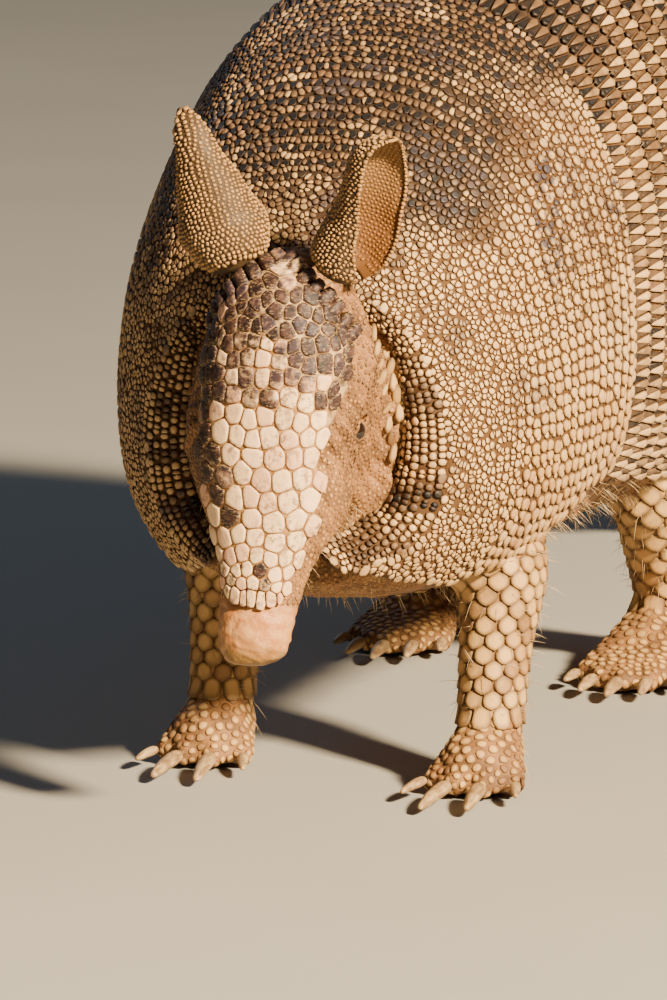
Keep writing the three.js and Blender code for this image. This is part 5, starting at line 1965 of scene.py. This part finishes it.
# ---- Stage ------------------------------------------------------------------
class ARMADILLO_OT_stage(bpy.types.Operator):
    """Builds the pale floor, the soft studio light and the camera"""

    bl_idname = "armadillo.stage"
    bl_label = "Stage"

    def execute(self, context):
        scene = context.scene
        deselect()
        bpy.ops.mesh.primitive_plane_add(size=12)
        floor = bpy.context.active_object
        floor.name = "floor"
        g = Graph("floor", roughness=0.85)
        g.set("Base Color", g.mix(g.noise(140, 3), (0.30, 0.29, 0.27), (0.34, 0.33, 0.305)))
        floor.data.materials.append(g.material)
        world = bpy.data.worlds.new("studio")
        world.use_nodes = True
        world.node_tree.nodes["Background"].inputs[0].default_value = (0.66, 0.77, 0.98, 1)
        world.node_tree.nodes["Background"].inputs[1].default_value = 0.07
        scene.world = world
        for name, power, size, colour, place in (
            ("key", 320, 0.22, (1.0, 0.79, 0.50), (1.62, -1.30, 1.20)),
            ("fill", 1.0, 1.6, (0.90, 0.92, 1.0), (0.3, -2.2, 1.4)),
            ("rim", 7, 1.2, (0.72, 0.84, 1.0), (-1.4, 1.2, 1.5)),
        ):
            light = bpy.data.lights.new(name, "AREA")
            light.energy, light.size, light.color = power, size, colour
            lamp = bpy.data.objects.new(name, light)
            lamp.location = place
            lamp.rotation_euler = (Vector((0, -0.2, 0.1)) - Vector(place)).to_track_quat("-Z", "Y").to_euler()
            scene.collection.objects.link(lamp)
        self.add_camera(scene)
        return {"FINISHED"}

    def add_camera(self, scene):
        """A long lens, two metres in front of the face, a little to the animal's left and above it."""
        right, ahead, up = camera_axes()
        target = NOSE_TIP + right * VIEW_TARGET[0] + up * VIEW_TARGET[1]
        camera = bpy.data.objects.new("camera", bpy.data.cameras.new("camera"))
        camera.data.sensor_width = 36
        camera.data.lens = 288
        camera.data.clip_start, camera.data.clip_end = 0.05, 50
        camera.location = (target - ahead * VIEW_DISTANCE) * MM
        camera.rotation_euler = Vector(ahead).to_track_quat("-Z", "Y").to_euler()
        scene.collection.objects.link(camera)
        scene.camera = camera


OPERATORS = (
    ARMADILLO_OT_skin, ARMADILLO_OT_eyes, ARMADILLO_OT_head_shield, ARMADILLO_OT_face_granules,
    ARMADILLO_OT_ears, ARMADILLO_OT_shoulder_shield, ARMADILLO_OT_bands, ARMADILLO_OT_rump_shield,
    ARMADILLO_OT_leg_scales, ARMADILLO_OT_claws, ARMADILLO_OT_tail, ARMADILLO_OT_hairs, ARMADILLO_OT_stage,)


class ARMADILLO_PT_sidebar(bpy.types.Panel):
    """Lists the armadillo's pieces."""

    bl_idname = "ARMADILLO_PT_sidebar"
    bl_label = "Armadillo"
    bl_space_type = "VIEW_3D"
    bl_region_type = "UI"
    bl_category = "Armadillo"

    def draw(self, context):
        layout = self.layout
        for settings in (context.scene.armadillo_shell, context.scene.armadillo_head,
                         context.scene.armadillo_colours):
            box = layout.box()
            for name in settings.__annotations__:
                box.prop(settings, name)
        for operator in OPERATORS:
            layout.operator(operator.bl_idname)


CLASSES = (ShellSettings, HeadSettings, ColourSettings, *OPERATORS, ARMADILLO_PT_sidebar)


def register():
    """Registers the classes and the scene's settings."""
    for cls in CLASSES:
        bpy.utils.register_class(cls)
    bpy.types.Scene.armadillo_shell = PointerProperty(type=ShellSettings)
    bpy.types.Scene.armadillo_head = PointerProperty(type=HeadSettings)
    bpy.types.Scene.armadillo_colours = PointerProperty(type=ColourSettings)


def unregister():
    """Removes them again."""
    del bpy.types.Scene.armadillo_colours
    del bpy.types.Scene.armadillo_head
    del bpy.types.Scene.armadillo_shell
    for cls in reversed(CLASSES):
        bpy.utils.unregister_class(cls)


def main():
    """Builds every piece in order."""
    register()
    for operator in OPERATORS:
        group, name = operator.bl_idname.split(".")
        getattr(getattr(bpy.ops, group), name)()


if __name__ == "__main__":
    main()
